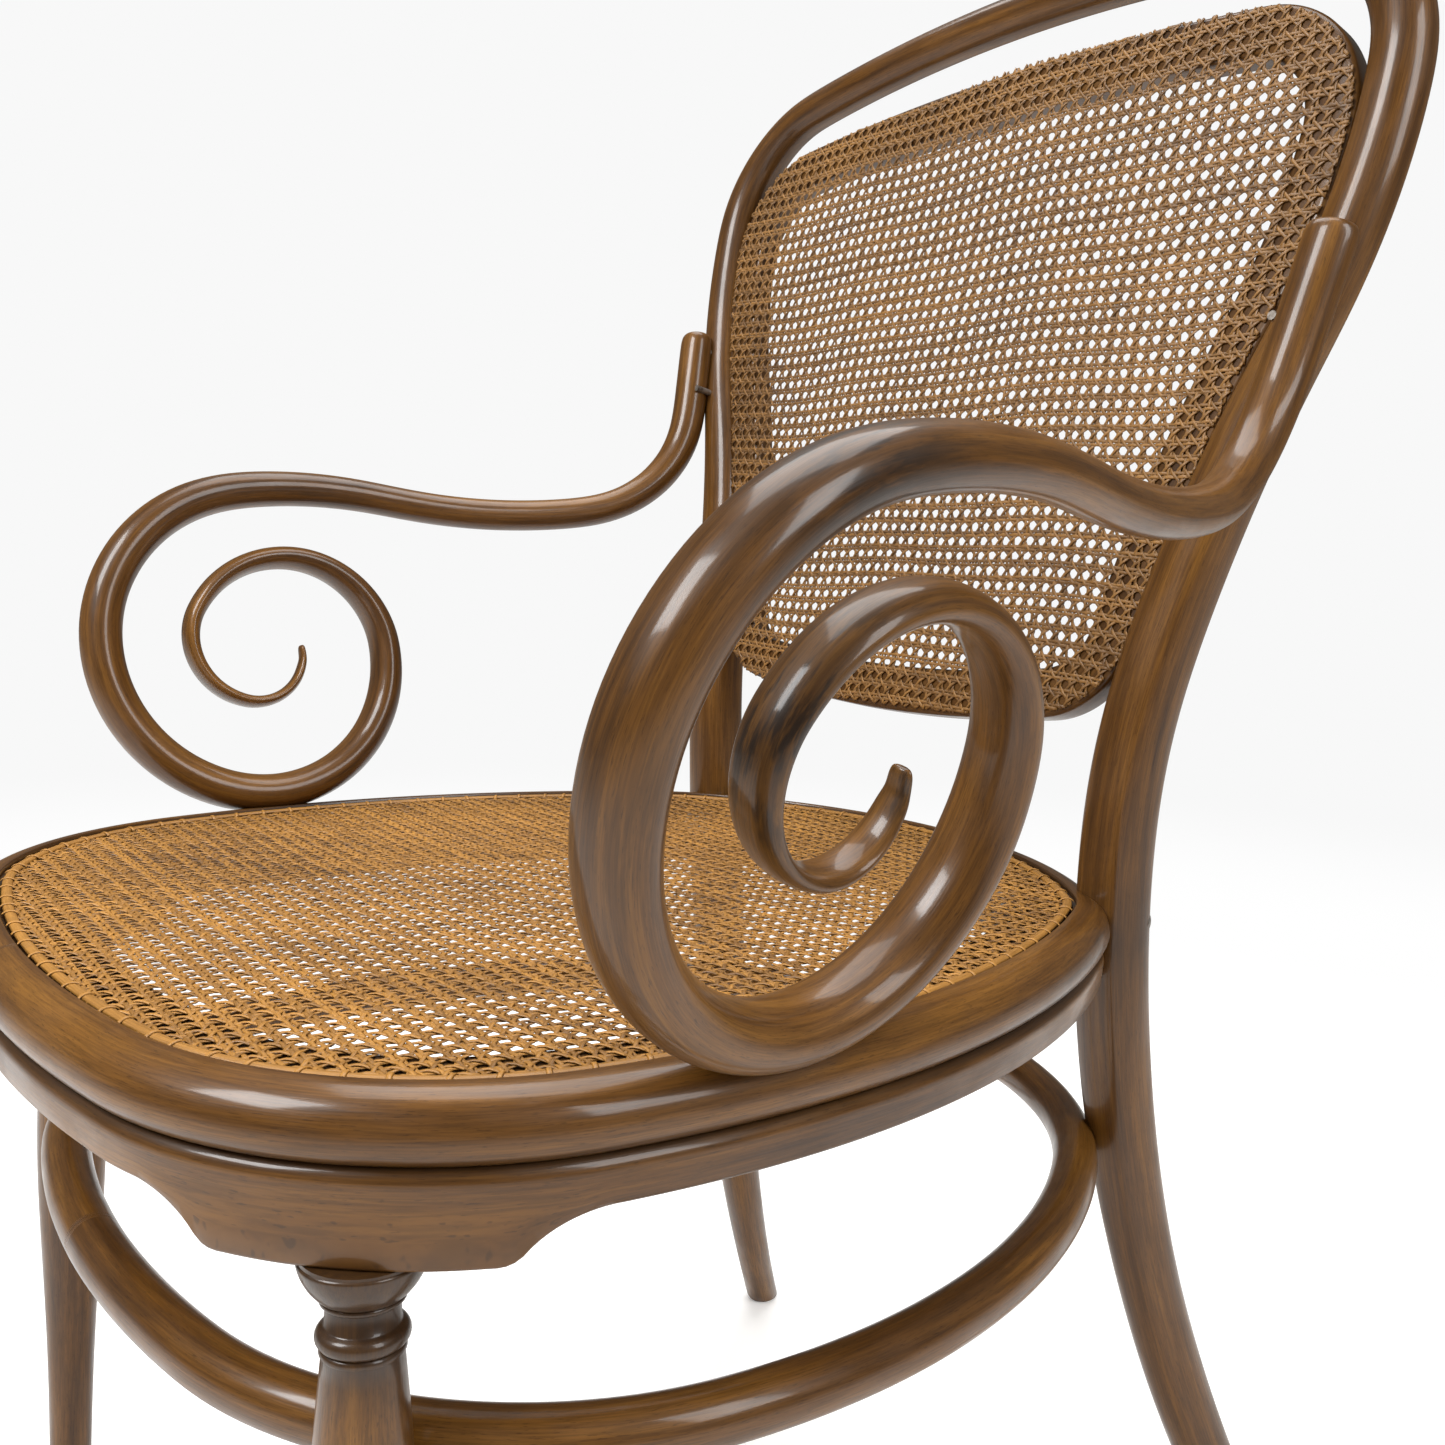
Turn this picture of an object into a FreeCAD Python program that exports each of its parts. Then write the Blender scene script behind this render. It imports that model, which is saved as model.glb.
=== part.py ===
import FreeCAD, Part
import math
import os

V = FreeCAD.Vector

# Bentwood armchair with scroll arms, a caned seat and a caned back panel.
# Millimetres. The chair faces -Y, +Z is up and x = 0 is its plane of symmetry.
# While it is built, y = 0 is the foremost line of the rear member.

# Seat
seat_height = 465.0
seat_half_width = 243.0
seat_depth = 518.0
seat_front_reach = 478.5
seat_front_radius = 599.0
seat_rear_radius = 249.0
seat_turns = (12.0, 80.0, 121.0, 139.5)
ring_height = 23.0
ring_inside = 28.0
ring_outside = 17.5
rebate_depth = 2.5
rebate_reach = 0.4
lip_reach = 1.0
lip_height = 1.0
groove_inset = 5.5
apron_height = 18.0
apron_inside = 22.0
apron_outside = 15.5
lobe_drop = 16.0
lobe_half_flat = 40.0
lobe_corner_run = 9.0
lobe_corner_rise = 4.0
lobe_cove = 28.0
lobe_reach = 80.0

# Cane
cane_thickness = 1.6
seat_cane_inset = 1.0
seat_hole_pitch = 24.5
seat_hole_radius = 4.6
back_hole_pitch = 20.5
back_hole_radius = 3.9
back_cane_inset = 2.0
hole_margin = 1.0
binder_width = 5.0
binder_thickness = 1.4

# Rear member: two legs, two uprights and the arch in one bent rod
foot_half_spread = 261.0
foot_sweep_back = 137.0
knee_height = 503.0
waist_half_width = 171.0
waist_rise = 479.0
lean_angle = 11.5
lean_radius = 436.0
hoop_half_width = 251.0
upright_length = 379.6
hoop_corner_radius = 80.0
hoop_top_turn = 10.0
shoulder_share = 0.3
foot_radius = 12.5
leg_radius = 16.0
waist_radius = 16.6
shoulder_radius = 14.6
arch_radius = 12.4
waist_squareness = 3.0

# Back panel
panel_thickness = 16.0
panel_frame_width = 27.0
panel_side_embed = 0.6
panel_top_gap = 39.8
panel_bottom_rise = 566.0
panel_shoulder_turn = 5.0
panel_waist_turn = 10.0
panel_top_turn = 6.0
panel_bottom_turn = 8.0
panel_setback = 1.0

# Arms: radius and turn of each stretch from the upright to the inner tip
tongue_length = 60.0
arm_steps = ((94.0, 69.6), (396.4, 19.4), (300.8, -19.0), (100.0, -58.9), (93.6, -93.7),
             (84.2, -114.6), (61.7, -86.6), (64.3, -58.8), (39.4, -104.9), (30.6, -112.5))
arm_lean_out = 0.25
arm_toe_out = 0.095
arm_blend_reach = 302.0
arm_seat_embed = 5.0
arm_seat_inset = -4.5
tongue_embed = 4.0
tongue_outset = 5.5
arm_sizes = ((0.0, 11.0, 12.6), (0.06, 11.6, 12.4), (0.13, 10.6, 11.6), (0.28, 10.2, 12.2),
             (0.41, 12.2, 15.4), (0.6, 12.0, 15.6), (0.71, 10.2, 16.0), (0.8, 7.6, 13.8),
             (0.88, 5.6, 12.2), (0.94, 4.1, 10.6), (0.98, 2.9, 7.6), (1.0, 2.2, 5.4))
tip_dome = 10.0
dome_steps = ((0.0, 0.3), (0.0, 0.62), (0.12, 0.86), (0.45, 0.97), (0.85, 1.0))

# Front legs
leg_half_spread = 202.0
leg_set_back = 61.5
leg_splay_out = 2.3
leg_splay_front = 1.0
tenon_radius = 9.0
tenon_length = 24.0
fit_clearance = 0.2
collar_radius = 21.1
collar_height = 14.2
collar_foot_radius = 14.4
neck_radius = 12.1
torus_radius = 15.4
torus_drop = 27.4
shaft_radius = 17.2
shaft_drop = 84.0
shaft_mid_radius = 13.6
shaft_mid_drop = 215.0
front_foot_radius = 11.0

# Stretcher hoop
stretcher_height = 332.0
stretcher_radius = 11.2
stretcher_half_width = 251.0
stretcher_depth = 509.5
stretcher_front_reach = 453.0
stretcher_front_radius = 520.0
stretcher_rear_radius = 239.0
stretcher_turns = (12.0, 80.0, 125.0, 151.6)

# Screws and bolts
screw_radius = 2.2
screw_head_radius = 4.4
screw_head_height = 2.6
bolt_radius = 3.0
bolt_head_radius = 8.0
bolt_head_height = 3.0
nut_radius = 6.4
nut_height = 5.0
washer_radius = 8.5
washer_thickness = 1.5
screw_clearance = 0.15
screw_sink = 1.0
screw_bite = 14.0
stretcher_screw_bite = 13.6
tongue_screw_bite = 11.0
arm_screw_bite = 11.0
tongue_screw_shares = (0.27, 0.77)
panel_screw_shares = (0.36, 0.66)
apron_screw_angles = (0.0, 100.0, 180.0, 260.0)
apron_screw_inset = 8.0
screw_recess = 6.0
spot_face_depth = 12.0
bolt_height_share = 0.42

# Larger than the chair, for level cuts
block_reach = 900.0
block_height = 100.0

ring_bottom = seat_height - ring_height
apron_bottom = ring_bottom - apron_height
lobe_bottom = apron_bottom - lobe_drop


def sin(degrees):
    return math.sin(math.radians(degrees))


def cos(degrees):
    return math.cos(math.radians(degrees))


# Plane paths

def follow(start, heading, steps):
    """Arcs (radius, turn) and straights (length, 0) joined end to end from a start point.

    Each piece is returned as its start, middle and end points with the headings there.
    """
    pieces = []
    x, y = start
    for size, turn in steps:
        places = []
        for share in (0.0, 0.5, 1.0):
            if turn == 0:
                run = size * share
                places.append((x + run * cos(heading), y + run * sin(heading), heading))
            else:
                side = math.copysign(size, turn)
                now = heading + turn * share
                places.append((x + side * (sin(now) - sin(heading)),
                               y - side * (cos(now) - cos(heading)), now))
        pieces.append(places)
        x, y, heading = places[-1]
    return pieces


def stations(start, heading, steps, spacing, most_turn=12.0):
    """Points with headings along the steps, no farther apart than a length and a turn."""
    found = [(start[0], start[1], heading)]
    for size, turn in steps:
        length = size if turn == 0 else size * math.radians(abs(turn))
        count = max(math.ceil(length / spacing), math.ceil(abs(turn) / most_turn))
        if turn == 0:
            part = [(size / count, 0)] * count
        else:
            part = [(size, turn / count)] * count
        x, y, now = found[-1]
        for piece in follow((x, y), now, part):
            found.append(piece[-1])
    return found


def wire(start, heading, steps, place):
    """An exact wire of lines and arcs; place turns plane coordinates into a 3-D point."""
    edges = []
    for (size, turn), piece in zip(steps, follow(start, heading, steps)):
        first, middle, last = [place(p[0], p[1]) for p in piece]
        if turn == 0:
            edges.append(Part.LineSegment(first, last).toShape())
        else:
            edges.append(Part.Arc(first, middle, last).toShape())
    return Part.Wire(edges)


def oval_steps(half_width, depth, front_radius, rear_radius, turns, offset):
    """The closed outline of an oval of ten arcs, from its front centre, turning left.

    Three radii follow from the half width at the widest point and from the depth.
    """
    a, b, c, d = turns
    rows = FreeCAD.Matrix(sin(b) - sin(a), 1 - sin(b), 0, 0,
                          0, sin(c) - 1, sin(d) - sin(c), 0,
                          cos(a) - cos(b), cos(b) - cos(c), cos(c) - cos(d), 0,
                          0, 0, 0, 1)
    wanted = V(half_width - front_radius * sin(a), rear_radius * sin(d) - half_width,
               depth - front_radius * (1 - cos(a)) - rear_radius * (1 + cos(d)))
    corner, side, rear_corner = rows.inverse().multVec(wanted)
    half = [(front_radius + offset, a), (corner + offset, b - a), (side + offset, c - b),
            (rear_corner + offset, d - c), (rear_radius + offset, 180.0 - d)]
    return half + half[::-1]


def seat_outline(offset, z):
    """The edge of the caned surface, moved outward by an offset, at a height."""
    steps = oval_steps(seat_half_width, seat_depth, seat_front_radius, seat_rear_radius,
                       seat_turns, offset)
    return wire((0.0, -seat_front_reach - offset), 0.0, steps, lambda x, y: V(x, y, z))


def stretcher_outline(offset, z):
    steps = oval_steps(stretcher_half_width, stretcher_depth, stretcher_front_radius,
                       stretcher_rear_radius, stretcher_turns, offset)
    return wire((0.0, -stretcher_front_reach - offset), 0.0, steps, lambda x, y: V(x, y, z))


def seat_edge_at(y_wanted):
    """Half width of the cane edge at a given y."""
    steps = oval_steps(seat_half_width, seat_depth, seat_front_radius, seat_rear_radius,
                       seat_turns, 0.0)
    line = stations((0.0, -seat_front_reach), 0.0, steps[:5], 4.0)
    return min(line, key=lambda p: abs(p[1] - y_wanted))[0]


def swept_ring(outline, profile):
    """A closed ring: a closed profile carried round a closed outline."""
    ring = outline.makePipeShell([profile], True, False)
    return Part.Solid(ring) if ring.ShapeType != "Solid" else ring


def big_block(bottom):
    """A block wider than the chair, to cut pieces level at a height."""
    return Part.makeBox(2 * block_reach, 2 * block_reach, block_height,
                        V(-block_reach, -block_reach, bottom))


# The rear member is drawn flat and rolled onto the side profile of legs and uprights

leg_turn = 2 * math.degrees(math.atan2(foot_sweep_back, knee_height))
leg_bend_radius = knee_height / sin(leg_turn)
leg_rise = leg_bend_radius * math.radians(leg_turn)
bend_rise = leg_rise + lean_radius * math.radians(lean_angle)
hoop_rise = bend_rise + upright_length


def side_place(rise):
    """y, z and slope from the vertical of the side profile, at a length up from the floor."""
    if rise < leg_rise:
        slope = leg_turn * (rise / leg_rise - 1)
        return (leg_bend_radius * (1 - cos(slope)), knee_height + leg_bend_radius * sin(slope),
                slope)
    slope = min(lean_angle, math.degrees((rise - leg_rise) / lean_radius))
    y = lean_radius * (1 - cos(slope))
    z = knee_height + lean_radius * sin(slope)
    rest = max(0.0, rise - bend_rise)
    return y + rest * sin(slope), z + rest * cos(slope), slope


def lean_y(z):
    """y of the straight leaning part of the side profile at a height."""
    y, level, slope = side_place(bend_rise)
    return y + (z - level) * math.tan(math.radians(lean_angle))


def rise_at(z):
    """Length up the side profile at a height."""
    bend_top = side_place(bend_rise)[1]
    if z > bend_top:
        return bend_rise + (z - bend_top) / cos(lean_angle)
    if z > knee_height:
        return leg_rise + lean_radius * math.asin((z - knee_height) / lean_radius)
    slope = math.degrees(math.asin((z - knee_height) / leg_bend_radius))
    return leg_rise * (1 + slope / leg_turn)


top_radius = (hoop_half_width - hoop_corner_radius * (1 - sin(hoop_top_turn))) / sin(hoop_top_turn)
widest_rise = (hoop_rise - top_radius * (1 - cos(hoop_top_turn))
               - hoop_corner_radius * cos(hoop_top_turn))
waist_turn = 2 * math.degrees(math.atan2(hoop_half_width - waist_half_width,
                                         widest_rise - waist_rise))
side_radius_sum = (widest_rise - waist_rise) / sin(waist_turn)
shoulder_bend = side_radius_sum * shoulder_share
upright_bend = side_radius_sum - shoulder_bend
foot_turn = 2 * math.degrees(math.atan2(foot_half_spread - waist_half_width, waist_rise))
foot_bend = waist_rise / sin(foot_turn)

half_hoop_steps = [(top_radius, -hoop_top_turn), (hoop_corner_radius, hoop_top_turn - 90.0),
                   (shoulder_bend, -waist_turn), (upright_bend, waist_turn),
                   (foot_bend, foot_turn)]


def smooth(value, table):
    """A value read from (place, value) pairs, eased from each pair to the next."""
    for (p0, v0), (p1, v1) in zip(table, table[1:]):
        if value <= p1:
            share = max(0.0, (value - p0) / (p1 - p0))
            return v0 + (v1 - v0) * (1 - math.cos(math.pi * share)) / 2
    return table[-1][1]


def hoop_half_size(rise):
    return smooth(rise, ((0.0, foot_radius), (0.55 * waist_rise, leg_radius),
                         (waist_rise, waist_radius), (1.35 * waist_rise, leg_radius),
                         (widest_rise, shoulder_radius), (hoop_rise, arch_radius)))


def hoop_squareness(rise):
    return smooth(rise, ((0.5 * waist_rise, 2.0), (0.9 * waist_rise, waist_squareness),
                         (1.2 * waist_rise, waist_squareness), (1.7 * waist_rise, 2.0)))


def hoop_x_at(rise):
    """Half width of the rear member's centre line at a length up from the floor."""
    line = stations((0.0, hoop_rise), 0.0, half_hoop_steps, 6.0)
    below = [p for p in line if p[1] <= widest_rise]
    return min(below, key=lambda p: abs(p[1] - rise))[0]


def roll(x, rise):
    y, z, slope = side_place(rise)
    return V(x, y, z)


def section(centre, across, front, half_across, half_front, squareness):
    """The poles of a closed section: an ellipse at squareness 2, nearer a square above it."""
    count = 12
    step = 360.0 / count
    reach = 3 / (2 + cos(step))
    poles = []
    for index in range(count):
        c = cos(step * index)
        s = sin(step * index)
        c = math.copysign(abs(c) ** (2 / squareness), c) * half_across * reach
        s = math.copysign(abs(s) ** (2 / squareness), s) * half_front * reach
        poles.append(centre + across * c + front * s)
    return poles


def rod(sections):
    """A bent rod: a smooth skin whose poles are the sections, with a flat cap at each end."""
    count = len(sections)
    around = len(sections[0])
    skin = Part.BSplineSurface()
    skin.buildFromPolesMultsKnots(sections, [4] + [1] * (count - 4) + [4], [1] * (around + 1),
                                  list(range(count - 2)), list(range(around + 1)),
                                  False, True, 3, 3)
    faces = [skin.toShape()]
    for end in (0, count - 3):
        faces.append(Part.Face(Part.Wire(skin.uIso(end).toShape())))
    shell = Part.makeShell(faces)
    shell.sewShape()
    solid = Part.Solid(shell)
    if solid.Volume < 0:
        solid.reverse()
    return solid


def make_rear_member():
    line = stations((0.0, hoop_rise), 0.0, half_hoop_steps, 24.0)
    x, rise, heading = line[-1]
    below_floor = 14.0
    line.append((x + below_floor * cos(heading), rise + below_floor * sin(heading), heading))
    both = [(-x, rise, -heading) for x, rise, heading in line[:0:-1]] + line
    sections = []
    for x, rise, heading in both:
        y, z, slope = side_place(rise)
        along = V(0, sin(slope), cos(slope)) * sin(heading) + V(cos(heading), 0, 0)
        front = V(0, -cos(slope), sin(slope))
        half = hoop_half_size(rise)
        sections.append(section(V(x, y, z), front.cross(along), front, half, half,
                                hoop_squareness(rise)))
    return rod(sections).cut(big_block(-block_height))


# Back panel, in the leaning plane

def panel_place(x, rise, forward):
    """A point of the leaning plane, moved towards the front of the chair."""
    y, z, slope = side_place(bend_rise)
    up = rise - bend_rise
    return V(x, y + up * sin(lean_angle) - forward * cos(lean_angle),
             z + up * cos(lean_angle) + forward * sin(lean_angle))


def pair_radii(x_gap, rise_gap, start_turn, end_turn):
    """Two radii of arcs that close a gap: from level through end_turn to start_turn."""
    m11, m12 = sin(end_turn), sin(start_turn) - sin(end_turn)
    m21, m22 = 1 - cos(end_turn), cos(end_turn) - cos(start_turn)
    scale = m11 * m22 - m12 * m21
    return (x_gap * m22 - m12 * rise_gap) / scale, (m11 * rise_gap - m21 * x_gap) / scale


def panel_steps(inset):
    """Half of the panel outline from its top centre, turning right, and its start rise.

    Its sides run beside the uprights, on arcs about the same centres.
    """
    beside = hoop_half_size(widest_rise) - panel_side_embed
    shoulder = shoulder_bend - beside
    upright = upright_bend + beside
    x_high = hoop_half_width - beside - shoulder * (1 - cos(panel_shoulder_turn))
    rise_high = widest_rise - shoulder * sin(panel_shoulder_turn)
    x_low = waist_half_width + upright_bend - upright * cos(panel_waist_turn)
    rise_low = waist_rise + upright * sin(panel_waist_turn)
    top_rise = hoop_rise - panel_top_gap
    top, corner = pair_radii(x_high, top_rise - rise_high, 90.0 + panel_shoulder_turn,
                             panel_top_turn)
    bottom, low_corner = pair_radii(x_low, rise_low - panel_bottom_rise,
                                    90.0 - panel_waist_turn, panel_bottom_turn)
    half = [(top - inset, -panel_top_turn),
            (corner - inset, panel_top_turn - 90.0 - panel_shoulder_turn),
            (shoulder - inset, panel_shoulder_turn - waist_turn),
            (upright + inset, waist_turn - panel_waist_turn),
            (low_corner - inset, panel_waist_turn + panel_bottom_turn - 90.0),
            (bottom - inset, -panel_bottom_turn)]
    return half + half[::-1], top_rise - inset


def panel_outline(inset, forward):
    steps, start = panel_steps(inset)
    return wire((0.0, start), 0.0, steps, lambda x, r: panel_place(x, r, forward))


panel_front = panel_thickness / 2 - panel_setback
lean_front = V(0, -cos(lean_angle), sin(lean_angle))
lean_up = V(0, sin(lean_angle), cos(lean_angle))


def make_panel_frame():
    back = panel_front - panel_thickness
    face = Part.makeFace([panel_outline(0.0, back), panel_outline(panel_frame_width, back)],
                         "Part::FaceMakerBullseye")
    return face.extrude(lean_front * panel_thickness)


def net(outer, limit, places, radius, normal, thickness):
    """A thin sheet with a round hole at each place that lies inside the limit."""
    inside = Part.Face(limit)
    holes = [Part.Wire(Part.makeCircle(radius, p, normal)) for p in places
             if inside.isInside(p, 0.01, False)]
    sheet = Part.makeFace([outer] + holes, "Part::FaceMakerBullseye")
    return sheet.extrude(normal * thickness), len(holes)


def grid(half_width, half_height, pitch):
    """Places of a square grid about its centre."""
    columns = math.ceil(half_width / pitch)
    rows = math.ceil(half_height / pitch)
    for i in range(-columns, columns + 1):
        for j in range(-rows, rows + 1):
            yield i * pitch, j * pitch


def make_back_cane():
    outer = panel_outline(back_cane_inset, panel_front)
    limit = panel_outline(panel_frame_width + back_hole_radius + hole_margin, panel_front)
    top = hoop_rise - panel_top_gap
    panel_height = top - panel_bottom_rise
    centre = (top + panel_bottom_rise) / 2
    places = [panel_place(x, centre + r, panel_front)
              for x, r in grid(hoop_half_width, panel_height / 2, back_hole_pitch)]
    return net(outer, limit, places, back_hole_radius, lean_front, cane_thickness)


# Seat

cane_bottom = seat_height - rebate_depth


def edges_through(corners, place):
    """Lines and three-point arcs through corners of a plane profile.

    A corner is a pair of numbers; a pair of corners is the middle and the end of an arc.
    """
    edges = []
    here = place(corners[0])
    for step in corners[1:]:
        if isinstance(step[0], tuple):
            middle, end = place(step[0]), place(step[1])
            edges.append(Part.Arc(here, middle, end).toShape())
        else:
            end = place(step)
            edges.append(Part.LineSegment(here, end).toShape())
        here = end
    return edges


def profile_at_front(corners):
    """A closed profile of (outward, z) corners at the front centre of the seat."""
    return Part.Wire(edges_through(corners, lambda p: V(0, -seat_front_reach - p[0], p[1])))


def make_upper_ring():
    widest = ring_bottom + 0.45 * ring_height
    groove = ring_outside - groove_inset
    profile = profile_at_front([
        (-ring_inside, ring_bottom),
        (-ring_inside, cane_bottom),
        (rebate_reach, cane_bottom),
        (rebate_reach, seat_height + 0.2 * lip_height),
        (lip_reach, seat_height + lip_height),
        ((0.74 * ring_outside, ring_bottom + 0.86 * ring_height), (ring_outside, widest)),
        ((0.94 * ring_outside, ring_bottom + 0.2 * ring_height), (groove, ring_bottom)),
        (-ring_inside, ring_bottom)])
    return swept_ring(seat_outline(0.0, seat_height), profile)


def leg_top(side):
    return V(side * leg_half_spread, -seat_front_reach + leg_set_back, lobe_bottom)


def leg_rotation(side):
    """The lean of a front leg: its foot stands out to the side and to the front."""
    return FreeCAD.Rotation(V(0, 1, 0), -side * leg_splay_out).multiply(
        FreeCAD.Rotation(V(1, 0, 0), -leg_splay_front))


def lobe_block(side):
    """What the deeper part of the apron keeps round a front leg, with coved ends."""
    top = ring_bottom + 1.0
    corner = lobe_half_flat + lobe_corner_run
    far = corner + lobe_cove
    shoulder = lobe_bottom + lobe_corner_rise
    round_x = lobe_half_flat + 0.62 * lobe_corner_run
    round_z = lobe_bottom + 0.24 * lobe_corner_rise
    cove_x = corner + 0.3 * lobe_cove
    cove_z = shoulder + 0.62 * (apron_bottom - shoulder)
    outline = edges_through([
        (-far, top), (-far, apron_bottom),
        ((-cove_x, cove_z), (-corner, shoulder)),
        ((-round_x, round_z), (-lobe_half_flat, lobe_bottom)),
        (lobe_half_flat, lobe_bottom),
        ((round_x, round_z), (corner, shoulder)),
        ((cove_x, cove_z), (far, apron_bottom)),
        (far, top), (-far, top)], lambda p: V(p[0], 0, p[1]))
    block = Part.Face(Part.Wire(outline)).extrude(V(0, 2 * lobe_reach, 0))
    block.translate(V(0, -lobe_reach, 0))
    top_point = leg_top(side)
    centre_y = -seat_front_reach + seat_depth / 2
    facing = math.degrees(math.atan2(top_point.x, centre_y - top_point.y))
    block.rotate(V(0, 0, 0), V(0, 0, 1), facing)
    block.translate(V(top_point.x, top_point.y, 0))
    return block


def make_lower_ring():
    groove = ring_outside - groove_inset
    profile = profile_at_front([
        (-apron_inside, ring_bottom),
        (-apron_inside, lobe_bottom),
        (apron_outside - 3.5, lobe_bottom),
        (apron_outside - 1.5, lobe_bottom + 2.0),
        ((apron_outside - 0.6, apron_bottom + 2.0), (apron_outside, ring_bottom - 6.0)),
        ((apron_outside - 0.9, ring_bottom - 2.0), (groove, ring_bottom)),
        (-apron_inside, ring_bottom)])
    full = swept_ring(seat_outline(0.0, seat_height), profile)
    keep = big_block(apron_bottom)
    for side in (-1, 1):
        keep = keep.fuse(lobe_block(side))
    ring = full.common(keep)
    for side in (-1, 1):
        ring = ring.cut(leg_tenon(side, fit_clearance))
    return ring


def make_seat_cane():
    outer = seat_outline(-seat_cane_inset, cane_bottom)
    limit = seat_outline(-ring_inside - seat_hole_radius - hole_margin, cane_bottom)
    centre = -seat_front_reach + seat_depth / 2
    places = [V(x, centre + y, cane_bottom) for x, y in grid(seat_half_width, seat_depth / 2, seat_hole_pitch)]
    return net(outer, limit, places, seat_hole_radius, V(0, 0, 1), cane_thickness)


def make_binder():
    outer = -seat_cane_inset - 0.5
    low = cane_bottom + cane_thickness
    high = low + binder_thickness
    middle = outer - binder_width / 2
    profile = profile_at_front([
        (outer - binder_width, low),
        ((middle, high), (outer, low)),
        (outer - binder_width, low)])
    return swept_ring(seat_outline(0.0, seat_height), profile)


# Front legs

def along_leg(side, shape):
    """Put a shape that was drawn down from z = 0 at the leg's top, with its lean."""
    shape.Placement = FreeCAD.Placement(leg_top(side), leg_rotation(side))
    return shape


def leg_tenon(side, clearance):
    start = 3.0
    tenon = Part.makeCylinder(tenon_radius + clearance, start + tenon_length + clearance,
                              V(0, 0, -start), V(0, 0, 1))
    return along_leg(side, tenon)


def make_front_leg(side):
    """Turned leg, drawn down from its tenon: collar, fillet, neck, torus, ring and shaft."""
    length = lobe_bottom + 12.0
    over = 1.5
    torus_top = -torus_drop + 3.2
    torus_end = -torus_drop - 3.4
    waist = torus_radius - 1.9
    ring_end = torus_end - 3.2
    fillet_top = -collar_height - 0.4
    fillet_end = fillet_top - 2.0
    place = lambda p: V(p[0], 0, p[1])
    edges = edges_through([
        (0.0, tenon_length), (tenon_radius, tenon_length), (tenon_radius, over),
        (collar_radius - 0.6, over), (collar_radius - 0.6, -over),
        ((collar_radius - 0.1, -over - 0.5), (collar_radius, -over - 1.4)),
        ((collar_radius - 1.9, -0.57 * collar_height), (collar_foot_radius, -collar_height)),
        (collar_foot_radius - 1.0, fillet_top),
        ((collar_foot_radius - 0.4, (fillet_top + fillet_end) / 2),
         (collar_foot_radius - 1.1, fillet_end)),
        (neck_radius, fillet_end - 0.8),
        (neck_radius + 0.2, torus_top + 0.5),
        (neck_radius + 0.8, torus_top),
        ((torus_radius, -torus_drop), (waist, torus_end)),
        (waist - 0.4, torus_end - 0.2),
        ((waist + 0.6, (torus_end + ring_end) / 2), (waist - 0.1, ring_end))], place)
    shaft = Part.BSplineCurve()
    shaft.interpolate([place((waist - 0.1, ring_end)), place((shaft_radius, -shaft_drop)),
                       place((shaft_mid_radius, -shaft_mid_drop)),
                       place((front_foot_radius, -length))])
    edges.append(shaft.toShape())
    edges += edges_through([(front_foot_radius, -length), (0.0, -length), (0.0, tenon_length)],
                           place)
    leg = along_leg(side, Part.Face(Part.Wire(edges)).revolve(V(0, 0, 0), V(0, 0, 1), 360))
    above_seat = big_block(lobe_bottom)
    return leg.cut(big_block(-block_height)).cut(above_seat.cut(leg_tenon(side, 0.0))).Solids[0]


# Stretcher

def make_stretcher():
    start = V(0, -stretcher_front_reach, stretcher_height)
    profile = Part.Wire(Part.makeCircle(stretcher_radius, start, V(1, 0, 0)))
    return swept_ring(stretcher_outline(0.0, stretcher_height), profile)


# Arms

def table_at(share, table):
    """The sizes at a share of the way, read between the rows of a table."""
    for low, high in zip(table, table[1:]):
        if share <= high[0]:
            part = (share - low[0]) / (high[0] - low[0])
            return [a + (b - a) * part for a, b in zip(low[1:], high[1:])]
    return table[-1][1:]


def arm_line():
    """The arm's centre line as (forward, height, share of its length) places.

    The scroll stands on the seat ring, and the tongue lies on the front of the upright.
    """
    steps = [(tongue_length, 0)] + list(arm_steps)
    flat = stations((0.0, 0.0), lean_angle - 90.0, steps, 24.0)
    lengths = [0.0]
    for p, q in zip(flat, flat[1:]):
        lengths.append(lengths[-1] + math.hypot(q[0] - p[0], q[1] - p[1]))
    shares = [length / lengths[-1] for length in lengths]
    lowest = min(range(len(flat)), key=lambda i: flat[i][1])
    half, wide = table_at(shares[lowest], arm_sizes)
    start_z = seat_height + lip_height - arm_seat_embed + half - flat[lowest][1]
    half, wide = table_at(0.0, arm_sizes)
    upright = hoop_half_size(rise_at(start_z))
    start_y = lean_y(start_z) - (upright + half - tongue_embed) / cos(lean_angle)
    line = [(p[0] - start_y, p[1] + start_z, share) for p, share in zip(flat, shares)]
    return line, line[lowest], lengths[-1]


def arm_places():
    """The right arm's centre line in space as (point, share of the length), and the length."""
    line, low, length = arm_line()
    x_seat = seat_edge_at(-low[0]) + ring_outside + arm_seat_inset
    upright_x = hoop_x_at(rise_at(line[0][1])) + tongue_outset

    def scroll_x(forward, z):
        return x_seat + arm_lean_out * (z - low[1]) + arm_toe_out * (forward - low[0])
    blend = scroll_x(line[0][0], line[0][1]) - upright_x
    limit = line[0][0] + arm_blend_reach
    places = []
    for forward, z, share in line:
        x = scroll_x(forward, z)
        if share < 0.45:
            x -= blend * (max(0.0, limit - forward) / arm_blend_reach) ** 2
        places.append((V(x, -forward, z), share))
    return places, length


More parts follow.
